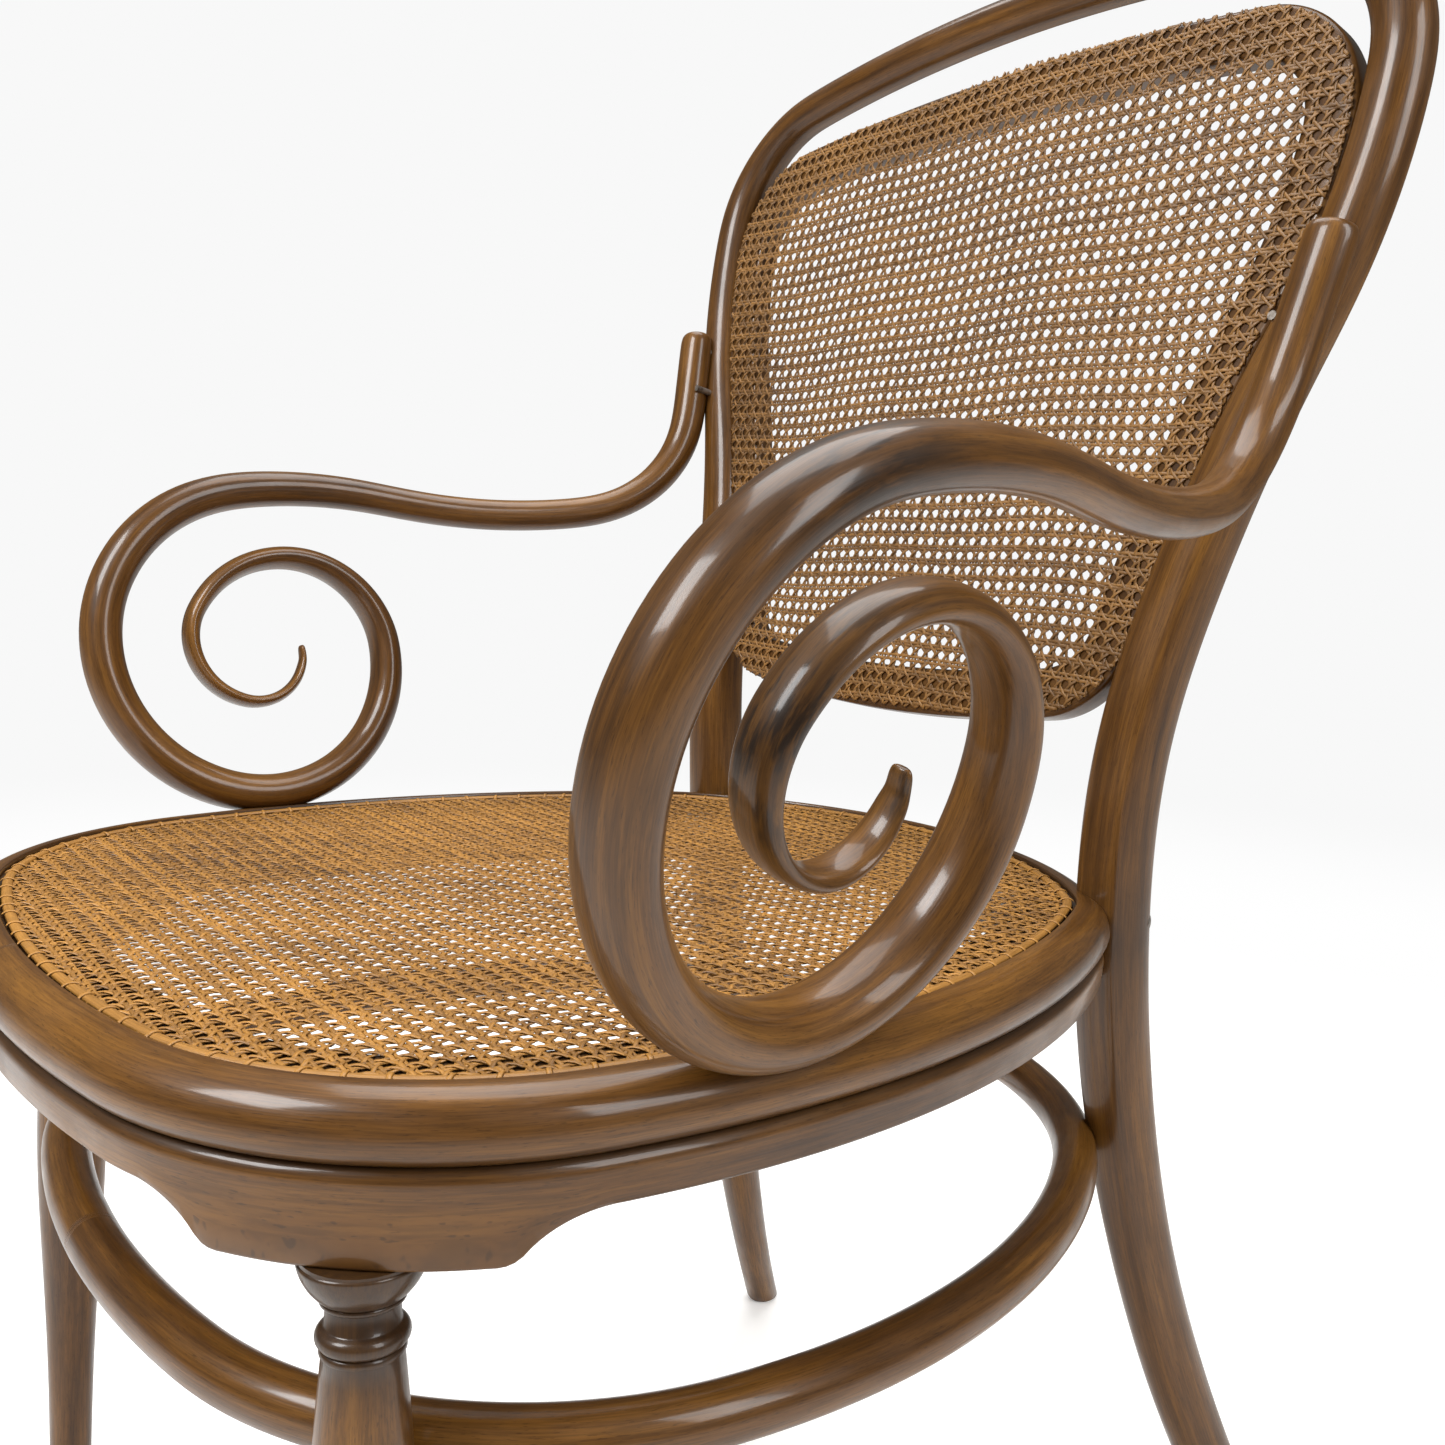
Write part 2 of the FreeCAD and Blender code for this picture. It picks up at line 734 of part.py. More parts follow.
def make_right_arm():
    places, length = arm_places()
    normal = V(1, arm_toe_out, -arm_lean_out)
    normal.normalize()
    dome = tip_dome / length
    spots = [(places[0][0], 0.0)] + places + [(places[-1][0], 1.0)]
    sections = []
    for (before, a), (here, share), (after, b) in zip(spots, spots[1:], spots[2:]):
        along = after - before
        along.normalize()
        wide_way = normal - along * normal.dot(along)
        wide_way.normalize()
        half, wide = table_at(share, arm_sizes)
        if share in (0.0, 1.0):
            inward = along if share == 0.0 else along * -1
            for run, size in dome_steps:
                spot = here + inward * (run * tip_dome)
                sections.append((spot, wide_way, along, wide * size, half * size))
            if share == 1.0:
                sections[-len(dome_steps):] = sections[:-len(dome_steps) - 1:-1]
        elif dome < share < 1.0 - dome:
            sections.append((here, wide_way, along, wide, half))
    return rod([section(spot, wide_way, wide_way.cross(along), wide, half, 2.0)
                for spot, wide_way, along, wide, half in sections])


# Screws and bolts

def put(shape, origin, direction):
    """Place a shape drawn along +Z so that it starts at an origin and runs in a direction."""
    turn = FreeCAD.Rotation(V(0, 0, 1), direction)
    shape.Placement = FreeCAD.Placement(origin, turn)
    return shape


def screw(length, clearance):
    """A countersunk screw along +Z, its head at the start."""
    head = Part.makeCone(screw_head_radius + clearance, screw_radius + clearance,
                         screw_head_height)
    shank = Part.makeCylinder(screw_radius + clearance, length + clearance)
    return head.fuse(shank)


def screw_hole(length):
    """The hole for a screw, open above its sunken head."""
    above = Part.makeCylinder(screw_head_radius + screw_clearance, screw_recess,
                              V(0, 0, -screw_recess))
    return screw(length, screw_clearance).fuse(above)


def screw_set(places):
    """Screws and their holes at (origin, direction, length) places."""
    screws = [put(screw(length, 0.0), origin, way) for origin, way, length in places]
    holes = [put(screw_hole(length), origin, way) for origin, way, length in places]
    return screws, holes


def drill(shape, holes):
    for hole in holes:
        shape = shape.cut(hole)
    return shape


def flat_towards(a, b):
    way = V(b.x - a.x, b.y - a.y, 0)
    way.normalize()
    return way


def nearest_on(outline, point):
    return outline.distToShape(Part.Vertex(point))[1][0][0]


def stretcher_screw_places():
    outline = stretcher_outline(0.0, stretcher_height)
    rise = rise_at(stretcher_height)
    rear_x = hoop_x_at(rise)
    places = []
    for side in (-1, 1):
        rear = V(side * rear_x, side_place(rise)[0], stretcher_height)
        fall = lobe_bottom - stretcher_height
        front = leg_top(side) + leg_rotation(side).multVec(V(0, 0, -fall / cos(leg_splay_out)))
        front.z = stretcher_height
        for leg in (rear, front):
            near = nearest_on(outline, leg)
            way = flat_towards(near, leg)
            places.append((near - way * (stretcher_radius - screw_sink), way,
                           2 * stretcher_radius + stretcher_screw_bite))
    return places


def panel_screw_places():
    places = []
    for share in panel_screw_shares:
        rise = panel_bottom_rise + share * (widest_rise - panel_bottom_rise)
        for side in (-1, 1):
            inner = hoop_x_at(rise) - hoop_half_size(widest_rise) + panel_side_embed
            x = inner - panel_frame_width + screw_sink
            origin = panel_place(side * x, rise, panel_front - panel_thickness / 2)
            places.append((origin, V(side, 0, 0), panel_frame_width + screw_bite))
    return places


def tongue_screw_places():
    """Through the uprights from behind into the tongues of the arms."""
    line, low, length = arm_line()
    places = []
    for share in tongue_screw_shares:
        z = line[0][1] - share * tongue_length
        rise = rise_at(z)
        x = hoop_x_at(rise)
        half = hoop_half_size(rise)
        back = half - screw_sink
        for side in (-1, 1):
            origin = roll(side * x, rise) - lean_front * back
            places.append((origin, lean_front, 2 * half + tongue_screw_bite))
    return places


def arm_seat_screw_places():
    line, low, length = arm_line()
    x = seat_edge_at(-low[0]) + apron_outside - apron_screw_inset
    return [(V(side * x, -low[0], apron_bottom + screw_sink), V(0, 0, 1),
             apron_height + ring_height + arm_screw_bite) for side in (-1, 1)]


def ring_screw_places():
    """Up through the apron into the seat ring, clear of the legs and the arms."""
    places = []
    outline = seat_outline(-apron_screw_inset, apron_bottom)
    centre_y = -seat_front_reach + seat_depth / 2
    for angle in apron_screw_angles:
        ray = V(400 * sin(angle), centre_y - 400 * cos(angle), apron_bottom)
        near = nearest_on(outline, ray)
        places.append((near + V(0, 0, screw_sink), V(0, 0, 1), apron_height + screw_bite))
    return places


def bolt_parts():
    """Bolts through the rear legs into the seat ring, with washers and nuts inside it."""
    z = ring_bottom + bolt_height_share * ring_height
    rise = rise_at(z)
    bolts, nuts, washers, holes, spot_faces = [], [], [], [], []
    outline = seat_outline(0.0, z)
    for side in (-1, 1):
        leg = V(side * hoop_x_at(rise), side_place(rise)[0], z)
        near = nearest_on(outline, leg)
        way = flat_towards(leg, near)
        outer = leg - way * hoop_half_size(rise)
        inner = near + way * ring_inside
        reach = (inner - outer).Length
        length = reach + washer_thickness + nut_height + 2.0
        head = Part.makeSphere(bolt_head_radius * 1.25)
        head_base = bolt_head_radius * 1.25 - bolt_head_height
        head = head.cut(Part.makeBox(40, 40, 40, V(-20, -20, -head_base)))
        head.translate(V(0, 0, head_base))
        bolt = head.fuse(Part.makeCylinder(bolt_radius, length, V(0, 0, -0.5)))
        bolts.append(put(bolt, outer, way))
        holes.append(put(Part.makeCylinder(bolt_radius + screw_clearance, reach + 20.0,
                                           V(0, 0, -10.0)), outer, way))
        inner_seat = Part.makeCylinder(washer_radius + screw_clearance, spot_face_depth)
        outer_seat = Part.makeCylinder(bolt_head_radius + screw_clearance, spot_face_depth,
                                       V(0, 0, -spot_face_depth))
        spot_faces.append(put(inner_seat, inner, way).fuse(put(outer_seat, outer, way)))
        washer = Part.makeCylinder(washer_radius, washer_thickness).cut(
            Part.makeCylinder(bolt_radius + screw_clearance, washer_thickness))
        washers.append(put(washer, inner, way))
        nut_outline = Part.makePolygon([V(nut_radius * cos(60 * k), nut_radius * sin(60 * k), 0)
                                        for k in range(7)])
        nut = Part.Face(nut_outline).extrude(V(0, 0, nut_height)).cut(
            Part.makeCylinder(bolt_radius + screw_clearance, nut_height))
        nuts.append(put(nut, inner + way * washer_thickness, way))
    return bolts, nuts, washers, holes, spot_faces


def build():
    parts = {}
    right_arm = make_right_arm()
    arms = {1: right_arm, -1: right_arm.mirror(V(0, 0, 0), V(1, 0, 0))}
    stretcher = make_stretcher()
    upper_ring = make_upper_ring()
    lower_ring = make_lower_ring()
    rear = make_rear_member()
    legs = {side: make_front_leg(side) for side in (-1, 1)}
    frame = make_panel_frame()

    rear = rear.cut(upper_ring).cut(lower_ring).cut(stretcher).cut(frame)
    for side in (-1, 1):
        rear = rear.cut(arms[side])
        upper_ring = upper_ring.cut(arms[side])
        legs[side] = legs[side].cut(stretcher)

    stretcher_screws, holes = screw_set(stretcher_screw_places())
    stretcher = drill(stretcher, holes)
    rear = drill(rear, holes)
    for side in (-1, 1):
        legs[side] = drill(legs[side], holes)
    panel_screws, holes = screw_set(panel_screw_places())
    frame = drill(frame, holes)
    rear = drill(rear, holes)
    tongue_screws, holes = screw_set(tongue_screw_places())
    rear = drill(rear, holes)
    for side in (-1, 1):
        arms[side] = drill(arms[side], holes)
    arm_seat_screws, holes = screw_set(arm_seat_screw_places())
    upper_ring = drill(upper_ring, holes)
    lower_ring = drill(lower_ring, holes)
    for side in (-1, 1):
        arms[side] = drill(arms[side], holes)
    ring_screws, holes = screw_set(ring_screw_places())
    upper_ring = drill(upper_ring, holes)
    lower_ring = drill(lower_ring, holes)
    bolts, nuts, washers, holes, spot_faces = bolt_parts()
    upper_ring = drill(upper_ring, holes + spot_faces)
    rear = drill(rear, holes + spot_faces)

    seat_cane, seat_holes = make_seat_cane()
    back_cane, back_holes = make_back_cane()
    print("holes in the seat cane", seat_holes, "in the back cane", back_holes)

    parts["rear_legs_and_back_hoop"] = [rear]
    parts["seat_ring"] = [upper_ring]
    parts["apron_ring"] = [lower_ring]
    parts["seat_cane"] = [seat_cane]
    parts["seat_cane_binder"] = [make_binder()]
    parts["back_panel_frame"] = [frame]
    parts["back_cane"] = [back_cane]
    parts["arm_left"] = [arms[-1]]
    parts["arm_right"] = [arms[1]]
    parts["front_leg_left"] = [legs[-1]]
    parts["front_leg_right"] = [legs[1]]
    parts["stretcher_hoop"] = [stretcher]
    parts["stretcher_screws"] = stretcher_screws
    parts["back_panel_screws"] = panel_screws
    parts["arm_upright_screws"] = tongue_screws
    parts["arm_seat_screws"] = arm_seat_screws
    parts["apron_screws"] = ring_screws
    parts["seat_bolts"] = bolts
    parts["seat_bolt_nuts"] = nuts
    parts["seat_bolt_washers"] = washers
    return parts


def main():
    parts = build()
    points = [p for group in parts.values() for solid in group
              for p in solid.tessellate(0.05)[0]]
    front = min(p.y for p in points)
    back = max(p.y for p in points)
    shift = V(0, -(front + back) / 2, 0)
    print("width", round(2 * max(p.x for p in points), 1), "depth", round(back - front, 1),
          "height", round(max(p.z for p in points), 1), "lowest", min(p.z for p in points),
          "shift", round(shift.y, 3))
    os.makedirs("parts", exist_ok=True)
    for name, solids in parts.items():
        moved = []
        for solid in solids:
            copy = solid.copy()
            copy.translate(shift)
            moved.append(copy)
        shape = moved[0] if len(moved) == 1 else Part.makeCompound(moved)
        print(name, "solids", len(shape.Solids), "valid", shape.isValid(),
              "volume", round(shape.Volume))
        shape.exportStep("parts/" + name + ".step")


main()
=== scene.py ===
import math

import bpy
import numpy as np
from mathutils import Matrix, Vector


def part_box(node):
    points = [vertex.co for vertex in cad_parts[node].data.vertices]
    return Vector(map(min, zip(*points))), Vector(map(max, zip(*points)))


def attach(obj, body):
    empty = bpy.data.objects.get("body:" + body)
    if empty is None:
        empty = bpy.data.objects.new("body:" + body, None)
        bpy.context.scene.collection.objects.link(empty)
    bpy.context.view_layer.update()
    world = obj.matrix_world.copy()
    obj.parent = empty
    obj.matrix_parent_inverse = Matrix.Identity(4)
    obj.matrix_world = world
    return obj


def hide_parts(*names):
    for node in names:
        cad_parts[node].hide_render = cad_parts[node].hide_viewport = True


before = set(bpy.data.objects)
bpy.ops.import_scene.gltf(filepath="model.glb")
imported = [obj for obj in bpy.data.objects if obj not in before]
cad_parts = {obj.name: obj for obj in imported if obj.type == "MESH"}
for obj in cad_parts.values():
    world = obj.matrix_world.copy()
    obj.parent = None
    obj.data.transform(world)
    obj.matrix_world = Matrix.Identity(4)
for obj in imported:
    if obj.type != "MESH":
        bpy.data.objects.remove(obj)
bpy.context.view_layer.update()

# Lengths are in millimetres until a mesh is made. The layout's y = 0 is the foremost line of
# the rear member, and the frame's y follows from where the stretcher lies.

SEAT_HEIGHT = 465.0
RING_BOTTOM = 442.0
APRON_BOTTOM = 424.0
LOBE_BOTTOM = 408.0
SEAT_FRONT = 478.5
SEAT_DEPTH = 518.0
RING_OUTSIDE = 17.5
LIP = 1.0
CANE_Z = 463.35
STRETCHER_HEIGHT = 332.0
STRETCHER_RADIUS = 11.2
STRETCHER_FRONT = 453.0
LEAN = 11.5

SHIFT_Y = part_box("stretcher_hoop")[0].y * 1000 + STRETCHER_FRONT + STRETCHER_RADIUS


def sin(degrees):
    return math.sin(math.radians(degrees))


def cos(degrees):
    return math.cos(math.radians(degrees))


# Plane paths of arcs and straights

def stations(start, heading, steps, spacing, most_turn=12.0):
    """(x, y, heading) along steps of (radius, turn) or (length, 0)."""
    found = [(start[0], start[1], heading)]
    for size, turn in steps:
        length = size if turn == 0 else size * math.radians(abs(turn))
        count = max(math.ceil(length / spacing), math.ceil(abs(turn) / most_turn))
        x, y, first = found[-1]
        for index in range(1, count + 1):
            share = index / count
            if turn == 0:
                found.append((x + size * share * cos(first), y + size * share * sin(first), first))
            else:
                side = math.copysign(size, turn)
                now = first + turn * share
                found.append((x + side * (sin(now) - sin(first)),
                              y - side * (cos(now) - cos(first)), now))
    return found


def oval_steps(half_width, depth, front_radius, rear_radius, turns):
    a, b, c, d = turns
    rows = np.array([[sin(b) - sin(a), 1 - sin(b), 0],
                     [0, sin(c) - 1, sin(d) - sin(c)],
                     [cos(a) - cos(b), cos(b) - cos(c), cos(c) - cos(d)]])
    wanted = np.array([half_width - front_radius * sin(a), rear_radius * sin(d) - half_width,
                       depth - front_radius * (1 - cos(a)) - rear_radius * (1 + cos(d))])
    corner, side, rear_corner = np.linalg.solve(rows, wanted)
    half = [(front_radius, a), (corner, b - a), (side, c - b), (rear_corner, d - c),
            (rear_radius, 180.0 - d)]
    return half + half[::-1]


SEAT_STEPS = oval_steps(243.0, SEAT_DEPTH, 599.0, 249.0, (12.0, 80.0, 121.0, 139.5))
STRETCHER_STEPS = oval_steps(251.0, 509.5, 520.0, 239.0, (12.0, 80.0, 125.0, 151.6))


def closed_line(start, steps, spacing, most_turn=2.5):
    """Points, outward normals and running length of a closed outline, its end left out."""
    line = np.array(stations(start, 0.0, steps, spacing, most_turn))
    points = line[:-1, :2]
    heading = np.radians(line[:-1, 2])
    outward = np.stack([np.sin(heading), -np.cos(heading)], axis=1)
    gaps = np.linalg.norm(np.diff(line[:, :2], axis=0), axis=1)
    return points, outward, np.concatenate([[0.0], np.cumsum(gaps)[:-1]])


# The rear member: drawn flat and rolled onto the side profile

FOOT_SWEEP = 137.0
KNEE_HEIGHT = 503.0
LEAN_RADIUS = 436.0
UPRIGHT_LENGTH = 379.6
HOOP_HALF_WIDTH = 251.0
CORNER_RADIUS = 80.0
TOP_TURN = 10.0
SHOULDER_SHARE = 0.3
WAIST_HALF_WIDTH = 171.0
WAIST_RISE = 479.0
FOOT_HALF_SPREAD = 261.0

LEG_TURN = 2 * math.degrees(math.atan2(FOOT_SWEEP, KNEE_HEIGHT))
LEG_BEND = KNEE_HEIGHT / sin(LEG_TURN)
LEG_RISE = LEG_BEND * math.radians(LEG_TURN)
BEND_RISE = LEG_RISE + LEAN_RADIUS * math.radians(LEAN)
HOOP_RISE = BEND_RISE + UPRIGHT_LENGTH
TOP_RADIUS = (HOOP_HALF_WIDTH - CORNER_RADIUS * (1 - sin(TOP_TURN))) / sin(TOP_TURN)
WIDEST_RISE = HOOP_RISE - TOP_RADIUS * (1 - cos(TOP_TURN)) - CORNER_RADIUS * cos(TOP_TURN)
WAIST_TO_WIDEST = WIDEST_RISE - WAIST_RISE
WAIST_TURN = 2 * math.degrees(math.atan2(HOOP_HALF_WIDTH - WAIST_HALF_WIDTH, WAIST_TO_WIDEST))
SHOULDER_BEND = SHOULDER_SHARE * WAIST_TO_WIDEST / sin(WAIST_TURN)
UPRIGHT_BEND = (1 - SHOULDER_SHARE) * WAIST_TO_WIDEST / sin(WAIST_TURN)
FOOT_TURN = 2 * math.degrees(math.atan2(FOOT_HALF_SPREAD - WAIST_HALF_WIDTH, WAIST_RISE))
HOOP_STEPS = [(TOP_RADIUS, -TOP_TURN), (CORNER_RADIUS, TOP_TURN - 90.0),
              (SHOULDER_BEND, -WAIST_TURN), (UPRIGHT_BEND, WAIST_TURN),
              (WAIST_RISE / sin(FOOT_TURN), FOOT_TURN)]


def side_place(rise):
    """Depth, height and slope of the rear member at a length up its side profile."""
    if rise < LEG_RISE:
        slope = LEG_TURN * (rise / LEG_RISE - 1)
        return LEG_BEND * (1 - cos(slope)), KNEE_HEIGHT + LEG_BEND * sin(slope), slope
    slope = min(LEAN, math.degrees((rise - LEG_RISE) / LEAN_RADIUS))
    rest = max(0.0, rise - BEND_RISE)
    return (LEAN_RADIUS * (1 - cos(slope)) + rest * sin(slope),
            KNEE_HEIGHT + LEAN_RADIUS * sin(slope) + rest * cos(slope), slope)


def lean_y(z):
    y, level, slope = side_place(BEND_RISE)
    return y + (z - level) * math.tan(math.radians(LEAN))


def hoop_rise_at(z):
    return BEND_RISE + (z - side_place(BEND_RISE)[1]) / cos(LEAN)


def smooth(value, table):
    """A table of (place, value) read with soft steps between its rows."""
    for (p0, v0), (p1, v1) in zip(table, table[1:]):
        if value <= p1:
            share = max(0.0, (value - p0) / (p1 - p0))
            return v0 + (v1 - v0) * (1 - math.cos(math.pi * share)) / 2
    return table[-1][1]


def hoop_half_size(rise):
    return smooth(rise, ((0.0, 12.5), (0.55 * WAIST_RISE, 16.0), (WAIST_RISE, 16.6),
                         (1.35 * WAIST_RISE, 16.0), (WIDEST_RISE, 14.6), (HOOP_RISE, 12.4)))


def hoop_squareness(rise):
    return smooth(rise / WAIST_RISE, ((0.5, 2.0), (0.9, 3.0), (1.2, 3.0), (1.7, 2.0)))


def hoop_x_at(rise):
    line = stations((0.0, HOOP_RISE), 0.0, HOOP_STEPS, 6.0)
    return min((p for p in line if p[1] <= WIDEST_RISE), key=lambda p: abs(p[1] - rise))[0]


# Meshes

def add_piece(name, points, faces, material, replaces=(), grain=None, values=None,
              sharp=None):
    """A mesh piece from points in layout millimetres and arrays of quads or triangles."""
    mesh = bpy.data.meshes.new(name)
    placed = (np.asarray(points, float) + (0.0, SHIFT_Y, 0.0)) / 1000
    mesh.vertices.add(len(placed))
    mesh.vertices.foreach_set("co", placed.ravel())
    loops = np.concatenate([f.ravel() for f in faces]).astype(np.int32)
    sizes = np.concatenate([np.full(len(f), f.shape[1]) for f in faces])
    mesh.loops.add(len(loops))
    mesh.loops.foreach_set("vertex_index", loops)
    mesh.polygons.add(len(sizes))
    mesh.polygons.foreach_set("loop_start", np.concatenate([[0], np.cumsum(sizes)[:-1]]))
    mesh.update(calc_edges=True)
    mesh.polygons.foreach_set("use_smooth", np.ones(len(sizes), bool))
    if grain is not None:
        layer = mesh.attributes.new("grain", "FLOAT_VECTOR", "POINT")
        layer.data.foreach_set("vector", (np.asarray(grain, float) / 1000).ravel())
    for key, data in (values or {}).items():
        layer = mesh.attributes.new(key, "FLOAT", "POINT")
        layer.data.foreach_set("value", np.asarray(data, np.float32))
    if sharp:
        mesh.set_sharp_from_angle(angle=math.radians(sharp))
    piece = bpy.data.objects.new(name, mesh)
    bpy.context.scene.collection.objects.link(piece)
    mesh.materials.append(material)
    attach(piece, "root")
    if replaces:
        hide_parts(*replaces)
    return piece


def grid_faces(rows, columns, wrap_rows=False, wrap_columns=True):
    """Quads of a grid of rows by columns of points."""
    i = np.arange(rows if wrap_rows else rows - 1)[:, None]
    j = np.arange(columns if wrap_columns else columns - 1)[None, :]
    i2, j2 = (i + 1) % rows, (j + 1) % columns
    quads = np.stack([i * columns + j, i * columns + j2, i2 * columns + j2, i2 * columns + j],
                     axis=-1)
    return quads.reshape(-1, 4)


def cap_faces(first, count, centre, flip):
    ring = first + np.arange(count)
    after = first + (np.arange(count) + 1) % count
    middle = np.full(count, centre)
    return np.stack([middle, after, ring] if flip else [middle, ring, after], axis=1)


def along_basis(count, per_span):
    """Weights of a clamped even cubic spline with this many poles."""
    knots = np.concatenate([[0.0] * 3, np.arange(count - 2), [count - 3.0] * 3])
    t = np.linspace(0.0, count - 3, (count - 3) * per_span + 1)
    weights = np.zeros((len(t), len(knots) - 1))
    span = np.clip(np.searchsorted(knots, t, side="right") - 1, 3, count - 1)
    weights[np.arange(len(t)), span] = 1.0
    for degree in (1, 2, 3):
        made = np.zeros((len(t), len(knots) - 1 - degree))
        for i in range(made.shape[1]):
            left = knots[i + degree] - knots[i]
            right = knots[i + degree + 1] - knots[i + 1]
            if left > 0:
                made[:, i] += (t - knots[i]) / left * weights[:, i]
            if right > 0:
                made[:, i] += (knots[i + degree + 1] - t) / right * weights[:, i + 1]
        weights = made
    return weights


def around_basis(count, per_span):
    """Weights of a closed even cubic spline with this many poles."""
    weights = np.zeros((count * per_span, count))
    for k in range(count * per_span):
        i, f = divmod(k, per_span)
        f /= per_span
        parts = ((1 - f) ** 3, 3 * f ** 3 - 6 * f ** 2 + 4,
                 -3 * f ** 3 + 3 * f ** 2 + 3 * f + 1, f ** 3)
        for offset, part in zip((-1, 0, 1, 2), parts):
            weights[k, (i + offset) % count] += part / 6
    return weights


POLES = 12
AROUND = around_basis(POLES, 3)


def section(centre, across, front, half_across, half_front, squareness):
    """Poles of a closed section, in space and in the section's own plane."""
    step = 360.0 / POLES
    reach = 3 / (2 + cos(step))
    flat = []
    for index in range(POLES):
        c, s = cos(step * index), sin(step * index)
        flat.append((math.copysign(abs(c) ** (2 / squareness), c) * half_across * reach,
                     math.copysign(abs(s) ** (2 / squareness), s) * half_front * reach))
    flat = np.array(flat)
    return centre + np.outer(flat[:, 0], across) + np.outer(flat[:, 1], front), flat


def rod_grid(sections, per_span=4):
    """The points of a rod's skin as (along, around, xyz), and grain coordinates to match."""
    poles = np.array([p for p, flat in sections])
    flats = np.array([flat for p, flat in sections])
    centres = poles.mean(axis=1)
    lengths = np.concatenate([[0], np.cumsum(np.linalg.norm(np.diff(centres, axis=0), axis=1))])
    along = along_basis(len(sections), per_span)
    skin = np.einsum("ui,ijk,vj->uvk", along, poles, AROUND)
    inner = np.einsum("ui,ijk,vj->uvk", along, flats, AROUND)
    run = np.repeat((along @ lengths)[:, None], skin.shape[1], axis=1)
    return skin, np.concatenate([run[..., None], inner], axis=2)


def add_rod(name, skin, grain, material, replaces, mirror=False, values=None):
    """A rod piece with a fan at each end."""
    rows, columns = skin.shape[:2]
    ends = np.array([skin[0].mean(axis=0), skin[-1].mean(axis=0)])
    points = np.vstack([skin.reshape(-1, 3), ends])
    marks = np.vstack([grain.reshape(-1, 3), [grain[0].mean(axis=0), grain[-1].mean(axis=0)]])
    total = rows * columns
    faces = [grid_faces(rows, columns), cap_faces(0, columns, total, True),
             cap_faces(total - columns, columns, total + 1, False)]
    if mirror:
        points = points * (-1, 1, 1)
    else:
        faces = [f[:, ::-1] for f in faces]
    full = {}
    for key, data in (values or {}).items():
        full[key] = np.concatenate([data.ravel(), [data[0].mean(), data[-1].mean()]])
    return add_piece(name, points, faces, material, replaces, marks, full, sharp=50)


def unit(v):
    return v / np.linalg.norm(v)


# Materials

def new_material(name):
    material = bpy.data.materials.new(name)
    material.use_nodes = True
    tree = material.node_tree
    return material, tree, tree.nodes, tree.links, tree.nodes["Principled BSDF"]


def attribute(nodes, name, output="Fac"):
    node = nodes.new("ShaderNodeAttribute")
    node.attribute_name = name
    return node.outputs[output]


def ramp(nodes, stops):
    node = nodes.new("ShaderNodeValToRGB")
    elements = node.color_ramp.elements
    while len(elements) < len(stops):
        elements.new(0.5)
    for element, (place, colour) in zip(elements, stops):
        element.position = place
        element.color = (*colour, 1.0)
    return node


def noise(tree, vector, scale, detail, roughness=0.55):
    """Noise with its own number of changes per metre along each axis of a vector."""
    stretch = tree.nodes.new("ShaderNodeMapping")
    stretch.inputs["Scale"].default_value = scale
    tree.links.new(vector, stretch.inputs["Vector"])
    node = tree.nodes.new("ShaderNodeTexNoise")
    node.inputs["Scale"].default_value = 1.0
    node.inputs["Detail"].default_value = detail
    node.inputs["Roughness"].default_value = roughness
    tree.links.new(stretch.outputs["Vector"], node.inputs["Vector"])
    return node.outputs["Fac"]


def math_node(tree, kind, a, b=None, clamp=False):
    node = tree.nodes.new("ShaderNodeMath")
    node.operation = kind
    node.use_clamp = clamp
    for socket, value in zip(node.inputs, (a, b)):
        if value is None:
            continue
        if isinstance(value, (int, float)):
            socket.default_value = value
        else:
            tree.links.new(value, socket)
    return node.outputs[0]


def blend(tree, *parts):
    """The sum of values, each times its own weight."""
    total = None
    for value, weight in parts:
        part = math_node(tree, "MULTIPLY", value, weight)
        total = part if total is None else math_node(tree, "ADD", total, part)
    return total


def mixed(tree, factor, a, b, mode="MIX"):
    node = tree.nodes.new("ShaderNodeMix")
    node.data_type = "RGBA"
    node.blend_type = mode
    for key, value in (("Factor", factor), ("A", a), ("B", b)):
        socket = [s for s in node.inputs if s.name == key and s.type ==
                  ("VALUE" if key == "Factor" else "RGBA")][0]
        if isinstance(value, (int, float)):
            socket.default_value = value
        elif isinstance(value, tuple):
            socket.default_value = (*value, 1.0)
        else:
            tree.links.new(value, socket)
    return [s for s in node.outputs if s.type == "RGBA"][0]


def bump(tree, height, strength, distance, normal=None):
    node = tree.nodes.new("ShaderNodeBump")
    node.inputs["Strength"].default_value = strength
    node.inputs["Distance"].default_value = distance
    tree.links.new(height, node.inputs["Height"])
    if normal is not None:
        tree.links.new(normal, node.inputs["Normal"])
    return node.outputs["Normal"]


def map_range(tree, value, low, high, to_low=0.0, to_high=1.0):
    node = tree.nodes.new("ShaderNodeMapRange")
    node.interpolation_type = "SMOOTHSTEP"
    node.inputs["From Min"].default_value = low
    node.inputs["From Max"].default_value = high
    node.inputs["To Min"].default_value = to_low
    node.inputs["To Max"].default_value = to_high
    tree.links.new(value, node.inputs["Value"])
    return node.outputs["Result"]


